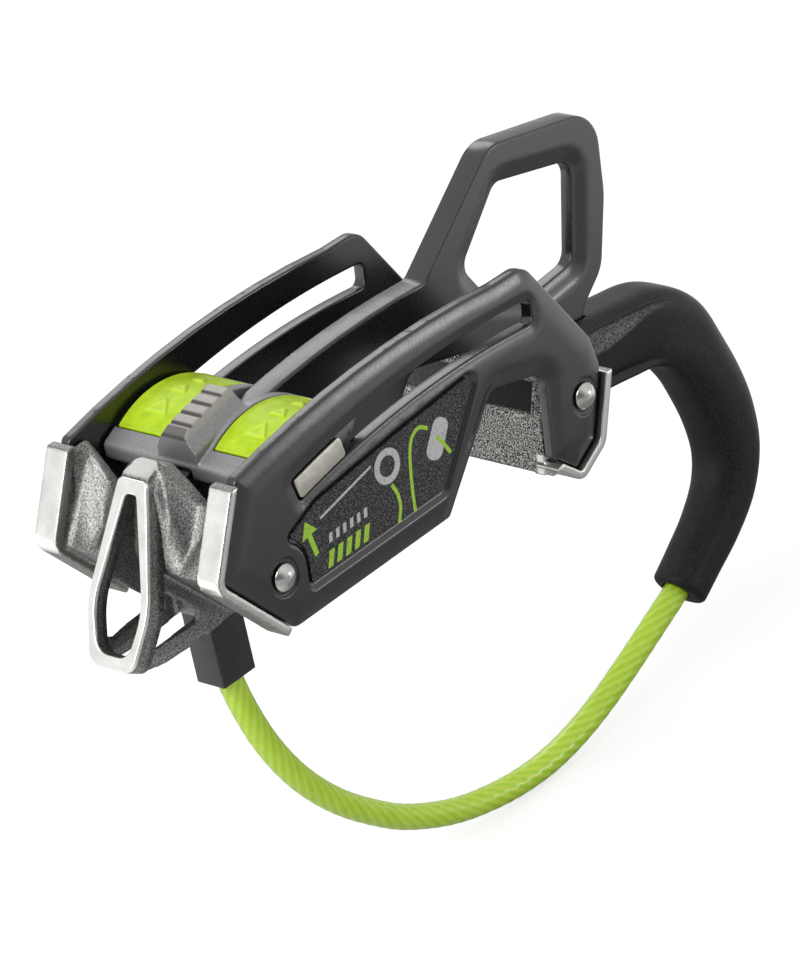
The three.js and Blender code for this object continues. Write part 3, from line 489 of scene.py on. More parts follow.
def moulded_nylon(name, dark, light, gloss, grain_size, specular, panel=None):
    """Glass-filled nylon with a spark-eroded grain: matt black with fine light specks, coarser on a panel,
    where lighter specks also paint a highlight of the light that the panel catches.
    """
    material, tree, shader, place = finish_of(name)
    pattern, grain = mottle(tree, place, grain_size, 2, 0.6, 0.35, 0.7)
    cloud = mottle(tree, place, 14)[1]
    colour = add(tree, "Mix", {0: grain, 6: dark, 7: light}, **COLOUR)
    if panel:
        # Painted highlight: on the panel the specks turn lighter, as if catching the top light
        glint = add(tree, "MapRange", (pattern, 0.42, 0.62))
        specks = add(tree, "Mix", {0: glint, 6: light, 7: panel}, **COLOUR)
        on_panel = add(tree, "Attribute", output="Fac", attribute_name="panel")
        colour = add(tree, "Mix", {0: on_panel, 6: colour, 7: specks}, **COLOUR)
    rough = add(tree, "MapRange", {0: cloud, 3: gloss - 0.05, 4: gloss + 0.06})
    dress(shader, colour, rough, (pattern, 0.45, 0.03), {"Specular IOR Level": specular})
    return material


SLEEVE_STRANDS = 9.0
SLEEVE_LAY = -24.0


def sleeve_green():
    """Clear green PVC over wire rope: the twisted strands show through as slanting light and dark bands."""
    material, tree, shader, place = finish_of("green_pvc_coating")
    around = add(tree, "Attribute", output="Vector", attribute_name="around")
    parts = add(tree, "SeparateXYZ", [around]).node.outputs
    angle = add(tree, "Math", (parts[1], parts[0]), operation="ARCTAN2")
    twist_rate = 2 * math.pi * SLEEVE_STRANDS / (SLEEVE_LAY * MM)
    along = add(tree, "Attribute", output="Fac", attribute_name="along")
    twist = add(tree, "Math", (along, twist_rate), operation="MULTIPLY")
    phase = add(tree, "Math", (angle, SLEEVE_STRANDS, twist), operation="MULTIPLY_ADD")
    wave = add(tree, "Math", [phase], operation="SINE")
    fine = add(tree, "Math", [add(tree, "Math", (phase, 3), operation="MULTIPLY")], operation="SINE")
    pattern, cloud = mottle(tree, place, 2.5)
    mixed = add(tree, "Math", (fine, 0.3, wave), operation="MULTIPLY_ADD")
    patchy = add(tree, "Math", (pattern, 2, mixed), operation="MULTIPLY_ADD")
    band = add(tree, "MapRange", (patchy, -0.8, 2.8))
    colour = add(tree, "Mix", {0: band, 6: "aee414", 7: "e2fa58"}, **COLOUR)
    rough = add(tree, "MapRange", {0: cloud, 3: 0.24, 4: 0.32})
    dress(shader, colour, rough, (wave, 0.15, 0.05), {
        "Subsurface Weight": 0.25, "Subsurface Radius": (0.0008, 0.001, 0.0003), "Subsurface Scale": 1,
        "Coat Weight": 0.2, "Coat Roughness": 0.2})
    return material


plate_finish = anodised()
front_finish = cast_steel()
rear_finish = blasted_steel()
rivet_finish = plain_steel("turned_stainless_steel", "a5a4a1", "c6c5c2", 0.12, 0.2, 2.5, 0.15)
key_finish = plain_steel("tumbled_key_steel", "b2afa7", "c8c5bc", 0.34, 0.46, 1.5, 0.3)
wire_finish = plain_steel("drawn_steel_wire", "9b9a97", "bdbcb9", 0.25, 0.4, 1.2, 0.2)
slider_finish = satin_slider()
film_finish = label_film()
green_ink = ink("green_screen_ink", "b6e64a", "8fbe2c")
grey_ink = ink("grey_screen_ink", "dad9d9", "a9a9aa")
insert_finish = clear_green()
# The last colour is the panel's lighter specks: partly grain, partly a painted highlight
handle_finish = moulded_nylon("grained_nylon", "0c0c0d", "2c2c2d", 0.46, 0.3, 0.24, "7c7c7d")
block_finish = moulded_nylon("smooth_nylon", "252526", "323233", 0.36, 0.5, 0.4)
sleeve_finish = sleeve_green()


# Cable: geometry trees that follow one route
BLOCK_X = 0.8
HANDLE_REACH = 45.4
HANDLE_DROP = 53.0
CABLE_REACH = RIVET_SPACING + 0.637 * HANDLE_REACH - BLOCK_X
CABLE_DEPTH = HANDLE_DROP + REAR_RIVET_DROP
CABLE_SHARES = [
    (0, -0.1562), (0, -0.2431), (0.0011, -0.3299), (0.0086, -0.4062), (0.0225, -0.4896),
    (0.0407, -0.5747), (0.0654, -0.6615), (0.0964, -0.7465), (0.1329, -0.8247), (0.1757, -0.8993),
    (0.225, -0.9687), (0.2808, -1.0365), (0.3429, -1.092), (0.4093, -1.1372), (0.4801, -1.1684),
    (0.5529, -1.1875), (0.6279, -1.191), (0.7008, -1.1753), (0.7715, -1.1441), (0.8401, -1.1024),
    (0.9066, -1.0573), (0.9559, -1.0226), (0.9998, -0.9913), (1.0459, -0.9479), (1.0802, -0.9097),
]
SLEEVE_START = 8.5
SLEEVE_RADIUS = 1.97
STRAND_RADIUS = 0.39
STRAND_LAY = -14.0
REAR_FERRULE = 5.0
cable_line = catmull([(BLOCK_X + x * CABLE_REACH, 0, z * CABLE_DEPTH) for x, z in CABLE_SHARES])
cable_length = lengths(cable_line)[-1]


def geometry_tree(name, sizes):
    """An empty tree with named inputs for its sizes and its material."""
    tree = bpy.data.node_groups.new(name, "GeometryNodeTree")
    tree.interface.new_socket(name="Geometry", in_out="INPUT", socket_type="NodeSocketGeometry")
    for size in sizes:
        tree.interface.new_socket(name=size, in_out="INPUT", socket_type="NodeSocketFloat")
    tree.interface.new_socket(name="Material", in_out="INPUT", socket_type="NodeSocketMaterial")
    tree.interface.new_socket(name="Geometry", in_out="OUTPUT", socket_type="NodeSocketGeometry")
    return tree, tree.nodes.new("NodeGroupInput").outputs


def close_tree(tree, source, shape):
    """Every tree ends in Realize Instances and Set Material."""
    real = add(tree, "GeometryNodeRealizeInstances", [shape])
    smooth = add(tree, "GeometryNodeSetShadeSmooth", {"Geometry": real})
    done = add(tree, "GeometryNodeSetMaterial", {"Geometry": smooth, "Material": source["Material"]})
    add(tree, "NodeGroupOutput", [done])
    return tree


def run_tree(form, tree, material, sizes=()):
    """Runs a geometry tree on a form and leaves a plain mesh."""
    step = form.modifiers.new(tree.name, "NODES")
    step.node_group = tree
    values = {"Material": material, **dict(sizes)}
    for item in tree.interface.items_tree:
        if item.in_out == "INPUT" and item.name in values:
            step[item.identifier] = values[item.name]
    return settle(form)


def route(name, points):
    """A curve through points."""
    curve = bpy.data.curves.new(name, "CURVE")
    curve.dimensions = "3D"
    spline = curve.splines.new("POLY")
    spline.points.add(len(points) - 1)
    for point, place in zip(spline.points, row(points)):
        point.co = (*place, 1)
    return new_object(name, curve)


def coating_tree():
    """Tube along the route, with the strands under it standing up a little in a helix."""
    tree, source = geometry_tree("coating", ["Radius", "Relief", "Strands", "Lay"])
    spot = add(tree, "GeometryNodeSplineParameter", output="Factor")
    angle = add(tree, "Math", (spot, 2 * math.pi), operation="MULTIPLY")
    cos, sin = (add(tree, "Math", [angle], operation=kind) for kind in ("COSINE", "SINE"))
    around = add(tree, "CombineXYZ", (cos, sin))
    profile = add(tree, "GeometryNodeCurvePrimitiveCircle", {"Resolution": 42, "Radius": source["Radius"]})
    profile = add(tree, "GeometryNodeStoreNamedAttribute", {
        "Geometry": profile, "Name": "around", "Value": around}, data_type="FLOAT_VECTOR")
    line = add(tree, "GeometryNodeStoreNamedAttribute", {
        "Geometry": source["Geometry"], "Name": "along", "Value": spot.node.outputs["Length"]},
        data_type="FLOAT")
    tube = add(tree, "GeometryNodeCurveToMesh", {"Curve": line, "Profile Curve": profile, "Fill Caps": True})
    ring = add(tree, "GeometryNodeInputNamedAttribute", {"Name": "around"}, data_type="FLOAT_VECTOR")
    run = add(tree, "GeometryNodeInputNamedAttribute", {"Name": "along"}, data_type="FLOAT")
    parts = add(tree, "SeparateXYZ", [ring]).node.outputs
    turned = add(tree, "Math", (parts[1], parts[0]), operation="ARCTAN2")
    laid = add(tree, "Math", (run, source["Lay"]), operation="DIVIDE")
    twist = add(tree, "Math", (laid, 2 * math.pi, turned), operation="MULTIPLY_ADD")
    phase = add(tree, "Math", (twist, source["Strands"]), operation="MULTIPLY")
    wave = add(tree, "Math", [phase], operation="SINE")
    height = add(tree, "Math", (wave, source["Relief"]), operation="MULTIPLY")
    normal = add(tree, "GeometryNodeInputNormal")
    offset = add(tree, "VectorMath", {0: normal, "Scale": height}, operation="SCALE")
    shape = add(tree, "GeometryNodeSetPosition", {"Geometry": tube, "Offset": offset})
    return close_tree(tree, source, shape)


def strand_tree():
    """Wire rope: strands laid round a straight one."""
    tree, source = geometry_tree("wire_rope", ["Strand Radius", "Outer Strands", "Lay"])
    count = add(tree, "Math", (source["Outer Strands"], 1), operation="ADD")
    strands = add(tree, "GeometryNodeDuplicateElements", {
        "Geometry": source["Geometry"], "Amount": count}, domain="SPLINE")
    index = strands.node.outputs["Duplicate Index"]
    spot = add(tree, "GeometryNodeSplineParameter", output="Length")
    share = add(tree, "Math", (index, source["Outer Strands"]), operation="DIVIDE")
    laid = add(tree, "Math", (spot, source["Lay"]), operation="DIVIDE")
    turns = add(tree, "Math", (share, laid), operation="ADD")
    angle = add(tree, "Math", (turns, 2 * math.pi), operation="MULTIPLY")
    side = add(tree, "VectorRotate", {
        "Vector": add(tree, "GeometryNodeInputNormal"), "Axis": add(tree, "GeometryNodeInputTangent"),
        "Angle": angle}, rotation_type="AXIS_ANGLE")
    outer = add(tree, "Math", (index, source["Outer Strands"]), operation="LESS_THAN")
    width = add(tree, "Math", (source["Strand Radius"], 2), operation="MULTIPLY")
    reach = add(tree, "Math", (width, outer), operation="MULTIPLY")
    offset = add(tree, "VectorMath", {0: side, "Scale": reach}, operation="SCALE")
    helix = add(tree, "GeometryNodeSetPosition", {"Geometry": strands, "Offset": offset})
    profile = add(tree, "GeometryNodeCurvePrimitiveCircle", {
        "Resolution": 8, "Radius": source["Strand Radius"]})
    rope = add(tree, "GeometryNodeCurveToMesh", {"Curve": helix, "Profile Curve": profile, "Fill Caps": True})
    return close_tree(tree, source, rope)


sleeve_at = np.linspace(SLEEVE_START, cable_length - REAR_FERRULE - CLEARANCE, 420)
sleeve_path = walk(cable_line, sleeve_at)
sleeve = run_tree(route("cable_sleeve_moulded", sleeve_path), coating_tree(), sleeve_finish, {
    "Radius": SLEEVE_RADIUS * MM, "Relief": 0.02 * MM, "Strands": SLEEVE_STRANDS,
    "Lay": SLEEVE_LAY * MM})
fit(outward(sleeve), ["cable_sleeve"], "frame")
core_path = walk(cable_line, np.linspace(CLEARANCE, cable_length - CLEARANCE, 320))
core = run_tree(route("wire_rope_core", core_path), strand_tree(), wire_finish, {
    "Strand Radius": STRAND_RADIUS * MM, "Outer Strands": 6.0, "Lay": STRAND_LAY * MM})
fit(core, ["cable_core"], "frame")


# Plates: faces whose height falls away towards their edges, as forged plates do
def place(x, z, radius=0):
    return (x * RIVET_SPACING, z * PLATE_HEIGHT, radius)


def arc_point(radius, angle):
    return ARC_CENTRE + radius * np.array([math.sin(angle), math.cos(angle)])


def arc_angle(x, radius):
    return math.asin((x - ARC_CENTRE[0]) / radius)


def arc_band(inner, outer, start, end, steps, radii):
    angles = np.linspace(start, end, steps + 1)
    corners = [(*arc_point(inner, a), 0) for a in angles] + [(*arc_point(outer, a), 0) for a in angles[::-1]]
    for spot, radius in zip((0, steps, steps + 1, 2 * steps + 1), radii):
        corners[spot] = (*corners[spot][:2], radius)
    return rounded(corners)


arch_corners = [
    place(0.526, -0.288, 1.2), place(0.730, 0.179, 2.5), place(0.902, 0.079, 2.5), place(0.874, -0.361, 0.6)]
TOP_RADIUS = 168.0
top_corners = []
for share in (0.80, 0.69, 0.58, 0.47, 0.36, 0.25, 0.14, 0.04):
    x = share * RIVET_SPACING
    drop = TOP_RADIUS - math.sqrt(TOP_RADIUS ** 2 - (x - 0.475 * RIVET_SPACING) ** 2)
    top_corners.append((x, 0.712 * PLATE_HEIGHT - drop, 0))
side_outline = rounded([
    place(-0.066, 0.587, 1.2), place(-0.172, 0.162, 1.2), place(0.006, -0.288, 2.5), *arch_corners,
    place(0.940, -0.490, 0.6), place(1.012, -0.407, 1.2), place(1.077, -0.073, 4), place(1.063, 0.096, 4),
    place(0.904, 0.662, 4), *top_corners])
SLOT_FROM = 5.8
SLOT_TO = 58.3
slot_loop = arc_band(
    SLOT_RADIUS - SLOT_HEIGHT / 2, SLOT_RADIUS + SLOT_HEIGHT / 2,
    arc_angle(SLOT_FROM, SLOT_RADIUS), arc_angle(SLOT_TO, SLOT_RADIUS), 16, (0.6, 1.2, 1.2, 0.6))
BOSS_RADIUS = 5.225
boss = [(BOSS_RADIUS * math.cos(a), BOSS_RADIUS * math.sin(a), 0) for a in np.radians([56, 39, 22, 5, -12])]
pocket_loop = rounded([
    place(0.692, 0.344, 1.2), place(0.415, 0.306), place(0.138, 0.252, 2.5), place(0.040, 0.172, 0.6), *boss,
    place(0.074, -0.136, 0.6), place(0.519, -0.136, 1.2)])
RIVETS = [(0, 0), (RIVET_SPACING, -REAR_RIVET_DROP)]
SHANK_RADIUS = 1.6
SHANK_HOLE = 1.9
SEAT_RADIUS = 2.75
SEAT_DEPTH = 0.4


def eye_place(x, z, radius):
    return (RIVET_SPACING + x * EYE_REACH, z * EYE_RISE, radius)


def centre_loop():
    """Outline of the centre plate: foot, arch, tang, guide eye and the arc under the slider."""
    corners = [
        place(-0.064, -0.112, 1.2), place(0.076, -0.112, 1.2), place(0.104, -0.275, 1.2),
        place(0.518, -0.275, 1.2), place(0.722, 0.192, 2.5), place(0.905, 0.095, 1.2),
        place(0.957, -0.060, 1.2), place(0.957, -0.338, 1.2), eye_place(0.623, -0.420, 1.2),
        eye_place(0.683, -0.270, 1.2), eye_place(0.600, -0.110, 2.5), eye_place(0.818, 0.051, 6),
        eye_place(0.940, 0.401, 14), eye_place(0.990, 0.821, 6), eye_place(0.215, 0.985, 6)]
    neck = arc_angle(RIVET_SPACING - 0.40 * EYE_REACH, CENTRE_TOP_RADIUS)
    front = arc_angle(-0.02 * RIVET_SPACING, CENTRE_TOP_RADIUS)
    radii = [2.5, *[0] * 8, 1.2]
    for angle, radius in zip(np.linspace(neck, front, len(radii)), radii):
        corners.append((*arc_point(CENTRE_TOP_RADIUS, angle), radius))
    return rounded(corners + [place(-0.064, 0.200, 2.5)])


centre_outline = centre_loop()
eye_loop = rounded([
    eye_place(-0.096, 0.480, 2.5), eye_place(0.036, 0.266, 2.5), eye_place(0.358, 0.128, 2.5),
    eye_place(0.646, 0.150, 2.5), eye_place(0.780, 0.640, 2.5), eye_place(0.235, 0.776, 2.5)])


def roll(gap, radius):
    """Drop of an edge rounded by a radius."""
    near = np.clip(radius - gap, 0, radius)
    return radius - np.sqrt(radius ** 2 - near ** 2)


def dish(gap, width, depth):
    """Drop of a broad soft hollow that is deepest at the edge."""
    return depth * (1 - ease(gap / width))


def no_drop(flat):
    return np.zeros(len(flat))


EDGE_STEP = 0.55
FEATURE_STEP = 0.6


def plate(name, outline, holes, low, high, drop_low, drop_high, rings, features=(), grid=0.8):
    """Plate between two levels across the pack, with its faces' drops given by functions of the place."""
    loops = [spaced(loop, EDGE_STEP) for loop in [outline, *holes]]
    edge_of = lambda spots: np.min([gap_to(spots, loop) for loop in loops], 0)
    edges, start = [], 0
    for loop in loops:
        size = len(loop)
        edges += [(start + i, start + (i + 1) % size) for i in range(size)]
        start += size
    inner = []
    for distance in rings:
        for k, loop in enumerate(loops):
            ring = grow(loop, -distance if k == 0 else distance)
            inner.append(ring[edge_of(ring) > 0.93 * distance])
    for loop in features:
        ring = spaced(loop, FEATURE_STEP)
        inner.append(ring[edge_of(ring) > 0.15])
    xs, zs = (np.arange(a, b, grid) for a, b in zip(outline.min(0), outline.max(0)))
    lattice = np.array([(x + (j % 2) * grid / 2, z) for j, z in enumerate(zs) for x in xs])
    near = edge_of(lattice)
    for loop in features:
        near = np.minimum(near, gap_to(lattice, loop) + rings[-1] - 0.1)
    inner.append(lattice[near > rings[-1] + 0.2])
    inner = np.vstack(inner)

    def on_plate(spots):
        inside = within(spots, outline)
        for loop in holes:
            inside &= ~within(spots, loop)
        return inside

    points = [Vector(p) for p in np.vstack([*loops, inner[on_plate(inner)]])]
    flat, _, faces, origins, _, _ = delaunay_2d_cdt(points, edges, [], 0, 1e-5, True)
    flat = np.array([tuple(p) for p in flat])
    faces = np.array(faces)
    faces = faces[on_plate(flat[faces].mean(1))]
    where = {source: new for new, sources in enumerate(origins) for source in sources}
    bottom = np.stack([flat[:, 0], low + drop_low(flat), flat[:, 1]], 1)
    top = np.stack([flat[:, 0], high - drop_high(flat), flat[:, 1]], 1)
    size = len(flat)
    wall = [(where[a], where[b], where[b] + size, where[a] + size) for a, b in edges if where[a] != where[b]]
    form = mesh_object(name, np.vstack([bottom, top]), [*faces, *(faces[:, ::-1] + size), *wall])
    with reworked(form.data) as work:
        bmesh.ops.delete(work, geom=[v for v in work.verts if not v.link_faces], context="VERTS")
    return outward(form)


# Width and drop of the hollows along the plates' edges
RIM_CROWN = (3.8, 0.85)
ARCH_DISH = (3.0, 0.95)
SLOT_DISH = (2.0, 0.35)
POCKET_DISH = (0.85, POCKET_DEPTH)
SEAT_DISH = (0.3, SEAT_DEPTH)
EYE_DISH = (3.1, 1.0)


def side_plate(name, side):
    """Forged side plate with a crowned rim, dished edges, a pocket for the label and seats for the rivets."""
    seats = [circle(x, z, SHANK_HOLE) for x, z in RIVETS]
    arch = rounded([place(0.40, -0.288), *arch_corners, place(0.94, -0.49)])
    first = np.argmin(np.linalg.norm(arch - arch_corners[0][:2], axis=1))
    arch = arch[first:-1]

    def outer(flat):
        rim = gap_to(flat, side_outline)
        crown = RIM_CROWN[1] * (1 - np.minimum(rim / RIM_CROWN[0], 1)) ** 2
        drop = np.maximum(roll(rim, 0.25) + crown, dish(gap_to(flat, arch, False), *ARCH_DISH))
        slot_gap = gap_to(flat, slot_loop)
        drop = np.maximum(drop, roll(slot_gap, 0.3) + dish(slot_gap, *SLOT_DISH))
        pocket_gap = np.where(within(flat, pocket_loop), 0, gap_to(flat, pocket_loop))
        drop = np.maximum(drop, dish(pocket_gap, *POCKET_DISH))
        for x, z in RIVETS:
            away = np.hypot(flat[:, 0] - x, flat[:, 1] - z)
            drop = np.maximum(drop, dish(away - SEAT_RADIUS, *SEAT_DISH))
        return drop

    def inner(flat):
        return np.maximum(roll(gap_to(flat, side_outline), 0.35), roll(gap_to(flat, slot_loop), 0.25))

    marks = [grow(spaced(pocket_loop, FEATURE_STEP), d) for d in (-0.15, 0.02, 0.22, 0.42, 0.62, 0.85, 1.1)]
    marks += [circle(x, z, SEAT_RADIUS + d) for x, z in RIVETS for d in (-0.25, -0.02, 0.08, 0.18, 0.3, 0.5)]
    rings = (0.03, 0.1, 0.22, 0.4, 0.62, 0.9, 1.4, 2.0)
    sizes = (-SIDE_OUTER, -SIDE_INNER, outer, inner) if side < 0 else (SIDE_INNER, SIDE_OUTER, inner, outer)
    return plate(name, side_outline, [slot_loop, *seats], *sizes, rings, marks)


for side, word in ((-1, "left"), (1, "right")):
    fit(side_plate(f"forged_side_plate_{word}", side), [f"side_plate_{word}"], "frame",
        plate_finish)


def centre_drop(flat):
    eye_gap = gap_to(flat, eye_loop)
    return np.maximum(roll(gap_to(flat, centre_outline), 0.4), roll(eye_gap, 0.3) + dish(eye_gap, *EYE_DISH))


centre_holes = [eye_loop, *(circle(x, z, SHANK_HOLE) for x, z in RIVETS)]
centre = plate(
    "forged_centre_plate", centre_outline, centre_holes, -CENTRE_FACE, CENTRE_FACE, centre_drop, centre_drop,
    (0.03, 0.1, 0.2, 0.32, 0.5, 0.9, 1.4, 2.0, 2.6, 3.2))
fit(centre, ["centre_plate"], "frame", plate_finish)


# Labels: film in the pockets, with a plain arrow, lines, bars, a ring and a pill printed on it
def ribbon(points, width):
    """Closed outline of a line of even width with square ends."""
    line = catmull(points, 6)
    along = unit(np.gradient(line, axis=0))
    side = np.stack([-along[:, 1], along[:, 0]], 1) * width / 2
    return np.vstack([line - side, (line + side)[::-1]])


def sheet_form(loop, low, high, holes=()):
    """Flat sheet between two levels across the pack."""
    return plate("sheet", loop, holes, low, high, no_drop, no_drop, (0.2,), grid=3)


def bar_tree():
    """Row of slanting bars."""
    tree, source = geometry_tree("slanting_bars", ["Count", "Pitch"])
    pitch = add(tree, "CombineXYZ", [source["Pitch"]])
    line = add(tree, "GeometryNodeMeshLine", {"Count": source["Count"], "Offset": pitch})
    bars = add(tree, "GeometryNodeInstanceOnPoints", {"Points": line, "Instance": source["Geometry"]})
    return close_tree(tree, source, bars)


bars_tree = bar_tree()
ARROW = [
    (6.75, -0.35), (7.6, -0.1), (6.95, 3.3), (8.2, 3.45), (6.2, 5.6), (4.95, 3.0), (6.05, 3.15)]
ROPE_LINES = [
    [(24.0, 2.2), (24.7, 0.4), (24.8, -1.6), (23.9, -3.9)],
    [(27.4, -3.9), (27.7, -0.7), (28.2, 2.4), (28.9, 5.3), (29.9, 7.0), (31.5, 7.6), (33.2, 6.6)],
    [(34.5, 4.6), (35.5, 3.0), (36.6, 0.9)]]
THIN_LINE = [(9.2, 4.6), (15.0, 5.75), (20.8, 6.9)]
PILL = [(31.3, 2.6, 1.5), (34.3, 0.6, 1.5), (37.7, 5.8, 1.3), (35.1, 7.7, 1.3)]
# Prints: outline, ink, number of the layer, holes
PRINTS = [
    (np.array(ARROW), green_ink, 0, []),
    *((ribbon(line, 0.62), green_ink, layer, []) for line, layer in zip(ROPE_LINES, (0, 0, 3))),
    (ribbon(THIN_LINE, 0.4), grey_ink, 0, []),
    (circle(23.9, 5.3, 2.7, 48), grey_ink, 1, [circle(23.9, 5.3, 1.6, 40)]),
    (rounded(PILL), grey_ink, 2, [])]
# Rows of bars: one bar's corners, ink, how many, millimetres from one to the next
BARS = [
    ([(8.6, -3.3, 0.1), (9.7, -3.3, 0.1), (10.7, -0.9, 0.1), (9.6, -0.9, 0.1)], green_ink, 5.0, 1.9),
    ([(9.9, 0.2, 0.1), (10.6, 0.2, 0.1), (10.9, 1.6, 0.1), (10.2, 1.6, 0.1)], grey_ink, 6.0, 1.5)]
INK_SUNK = 0.05
INK_STEP = 0.006


def label(word, side):
    """Label film and its prints as one mesh with three finishes."""
    film = sorted((side * (SIDE_OUTER - POCKET_DEPTH + 0.01), side * LABEL_TOP))
    tops = [LABEL_TOP + INK_STEP * (2 + layer) for layer in range(4)]
    levels = [sorted((side * (LABEL_TOP - INK_SUNK), side * top)) for top in tops]
    parts = [(sheet_form(grow(spaced(pocket_loop, 1), -CLEARANCE), *film), film_finish)]
    for outline, finish, layer, holes in PRINTS:
        parts.append((sheet_form(outline, *levels[layer], holes), finish))
    for corners, finish, count, pitch in BARS:
        bar = sheet_form(rounded(corners, 3), *levels[0])
        parts.append((run_tree(bar, bars_tree, finish, {"Count": count, "Pitch": pitch * MM}), finish))
    finishes = [film_finish, green_ink, grey_ink]
    mesh = bpy.data.meshes.new(f"printed_label_{word}")
    with reworked(mesh) as work:
        for form, finish in parts:
            known = len(work.faces)
            work.from_mesh(form.data)
            work.faces.ensure_lookup_table()
            for printed in work.faces[known:]:
                printed.material_index = finishes.index(finish)
                printed.smooth = False
            bpy.data.objects.remove(form)
    for finish in finishes:
        mesh.materials.append(finish)
    fit(new_object(mesh.name, mesh), [f"label_{word}"], "frame")


label("left", -1)
label("right", 1)


# Rivets: one turned form set in both places by a tree
def lathe(name, profile, count=56):
    """Form turned about the Y axis from (radius, level) pairs, its two ends closed at points."""
    cos, sin = round_turn(count)
    turn = np.stack([cos, np.zeros(count), sin], 1)
    return skin(name, [(radius * turn + (0, level, 0)) * MM for radius, level in profile], metres=True)


def rivet_tree(form):
    tree, source = geometry_tree("rivets", [])
    model = add(tree, "GeometryNodeObjectInfo", {"Object": form}, "Geometry")
    heads = add(tree, "GeometryNodeInstanceOnPoints", {"Points": source["Geometry"], "Instance": model})
    return close_tree(tree, source, heads)


HEAD_RADIUS = 2.15
HEAD_TOP = 19.12
BALL_RADIUS = 2.6
dome = [(BALL_RADIUS * math.sin(a), HEAD_TOP - BALL_RADIUS * (1 - math.cos(a)))
        for a in np.linspace(math.asin(HEAD_RADIUS / BALL_RADIUS), 0, 14)]
half = [(SHANK_RADIUS, 17.75), (SHANK_HOLE, 17.75), (2.12, 17.78), *dome]
rivet_form = lathe("rivet_form", [(r, -y) for r, y in half[::-1]] + half)
rivets = mesh_object("domed_rivets", [(x, 0, z) for x, z in RIVETS], [])
rivets = run_tree(rivets, rivet_tree(rivet_form), rivet_finish)
bpy.data.objects.remove(rivet_form)
fit(outward(rivets), ["front_rivet", "rear_rivet"], "frame")


# Castings: the solids' own forms with every edge melted a little, as investment casting leaves it
def cast(node, name, cell, passes, extras=()):
    """A solid's copy joined with extra forms, remade in cells of this many millimetres and softened."""
    form = copy_of(node, name)
    with reworked(form.data) as work:
        for extra in extras:
            work.from_mesh(extra.data)
            bpy.data.objects.remove(extra)
    remesh = form.modifiers.new("cells", "REMESH")
    remesh.mode = "VOXEL"
    remesh.voxel_size = cell * MM
    remesh.use_smooth_shade = True
    soften = form.modifiers.new("soften", "SMOOTH")
    soften.factor = 0.5
    soften.iterations = passes
    return settle(form)


def mark(form, name, values):
    """Stores a value at each vertex for the materials to read."""
    layer = form.data.attributes.new(name, "FLOAT", "POINT")
    layer.data.foreach_set("value", np.asarray(values, np.float32))


def design(form):
    """Vertices and normals of a form in millimetres from the front rivet's axis."""
    found = []
    for kind in ("co", "normal"):
        values = np.empty(len(form.data.vertices) * 3)
        form.data.vertices.foreach_get(kind, values)
        found.append(values.reshape(-1, 3))
    points, normals = found
    return (points - ORIGIN) / MM, normals


def reshape(form, points):
    """Moves a form's vertices to places in millimetres from the front rivet's axis."""
    form.data.vertices.foreach_set("co", row(points).astype(np.float32).ravel())
    form.data.update()


NOSE_TOP = np.array([-0.112 * RIVET_SPACING, 0.580 * PLATE_HEIGHT])
NOSE_IN = np.array([2, -1]) / math.sqrt(5)
NOSE_UP = np.array([-NOSE_IN[1], NOSE_IN[0]])
NOSE_HEIGHT = 28.6
NOSE_DEPTH = 2.4
NOSE_HALF_WIDTH = 8
NOSE_EDGE = 1.3
NOSE_CREST = np.array([-3.7, 17.66])
NOSE_FLARE = 0.42
SILL_FRONT = -19.4
SILL = [
    (SILL_FRONT, -8.2), (-18.6, -7.5), (-5.0, -7.0), (0.4, -6.9), (0.4, -8.6), (-5.6, -9.22), (-13.7, -9.35),
    (-17.5, -8.9)]
WEB = [(-5.4, -9.0), (-5.0, -5.6), (0.4, -5.0), (0.4, -8.6)]
FLANGE_FROM = 13.7


def nose_loop(half):
    """Symmetric outline across and down the nose's face, from (half width, down, radius) shares."""
    right = [(x * NOSE_HEIGHT, -down * NOSE_HEIGHT, radius) for x, down, radius in half]
    return rounded([(-x, rise, radius) for x, rise, radius in right] + right[::-1])


def nose_ring():
    """The nose's ground face: a flat teardrop frame with narrow rounded edges, set in the leaning plane."""
    outline = nose_loop([(0.098, NOSE_EDGE / NOSE_HEIGHT, 1.0), (0.214, 0.680, 12), (0.150, 1.000, 2.5)])
    teardrop = nose_loop([(0.036, 0.124, 0.6), (0.165, 0.690, 12), (0.104, 0.930, 2.5)])
    face = lambda flat: roll(np.minimum(gap_to(flat, outline), gap_to(flat, teardrop)), 0.3)
    form = plate("polished_nose_ring", outline, [teardrop], 0, NOSE_DEPTH, face, no_drop,
                 (0.02, 0.07, 0.15, 0.24, 0.34, 0.6), grid=0.9)
    with reworked(form.data) as work:
        for depth in (0.36, 0.5, 1.2):
            parts = [*work.verts, *work.edges, *work.faces]
            bmesh.ops.bisect_plane(work, geom=parts, plane_co=(0, depth * MM, 0), plane_no=(0, 1, 0))
    points, _ = design(form)
    outside = gap_to(points[:, [0, 2]], outline) < 0.6
    points[:, 0] += np.sign(points[:, 0]) * NOSE_FLARE * np.maximum(points[:, 1] - 0.3, 0) * outside
    across, depth, rise = points.T
    middle = NOSE_TOP + depth[:, None] * NOSE_IN + rise[:, None] * NOSE_UP
    reshape(form, np.stack([middle[:, 0], -across, middle[:, 1]], 1))
    mark(form, "polish", 1 - ease((depth - 0.3) / 0.18))
    paint(form, front_finish)
    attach(form, "frame")


def hull(name, points):
    """Closed convex form round some points."""
    mesh = bpy.data.meshes.new(name)
    with reworked(mesh) as work:
        for point in row(points):
            work.verts.new(point)
        made = bmesh.ops.convex_hull(work, input=work.verts)
        bmesh.ops.delete(work, geom=made["geom_interior"] + made["geom_unused"], context="VERTS")
    return outward(new_object(name, mesh), False)


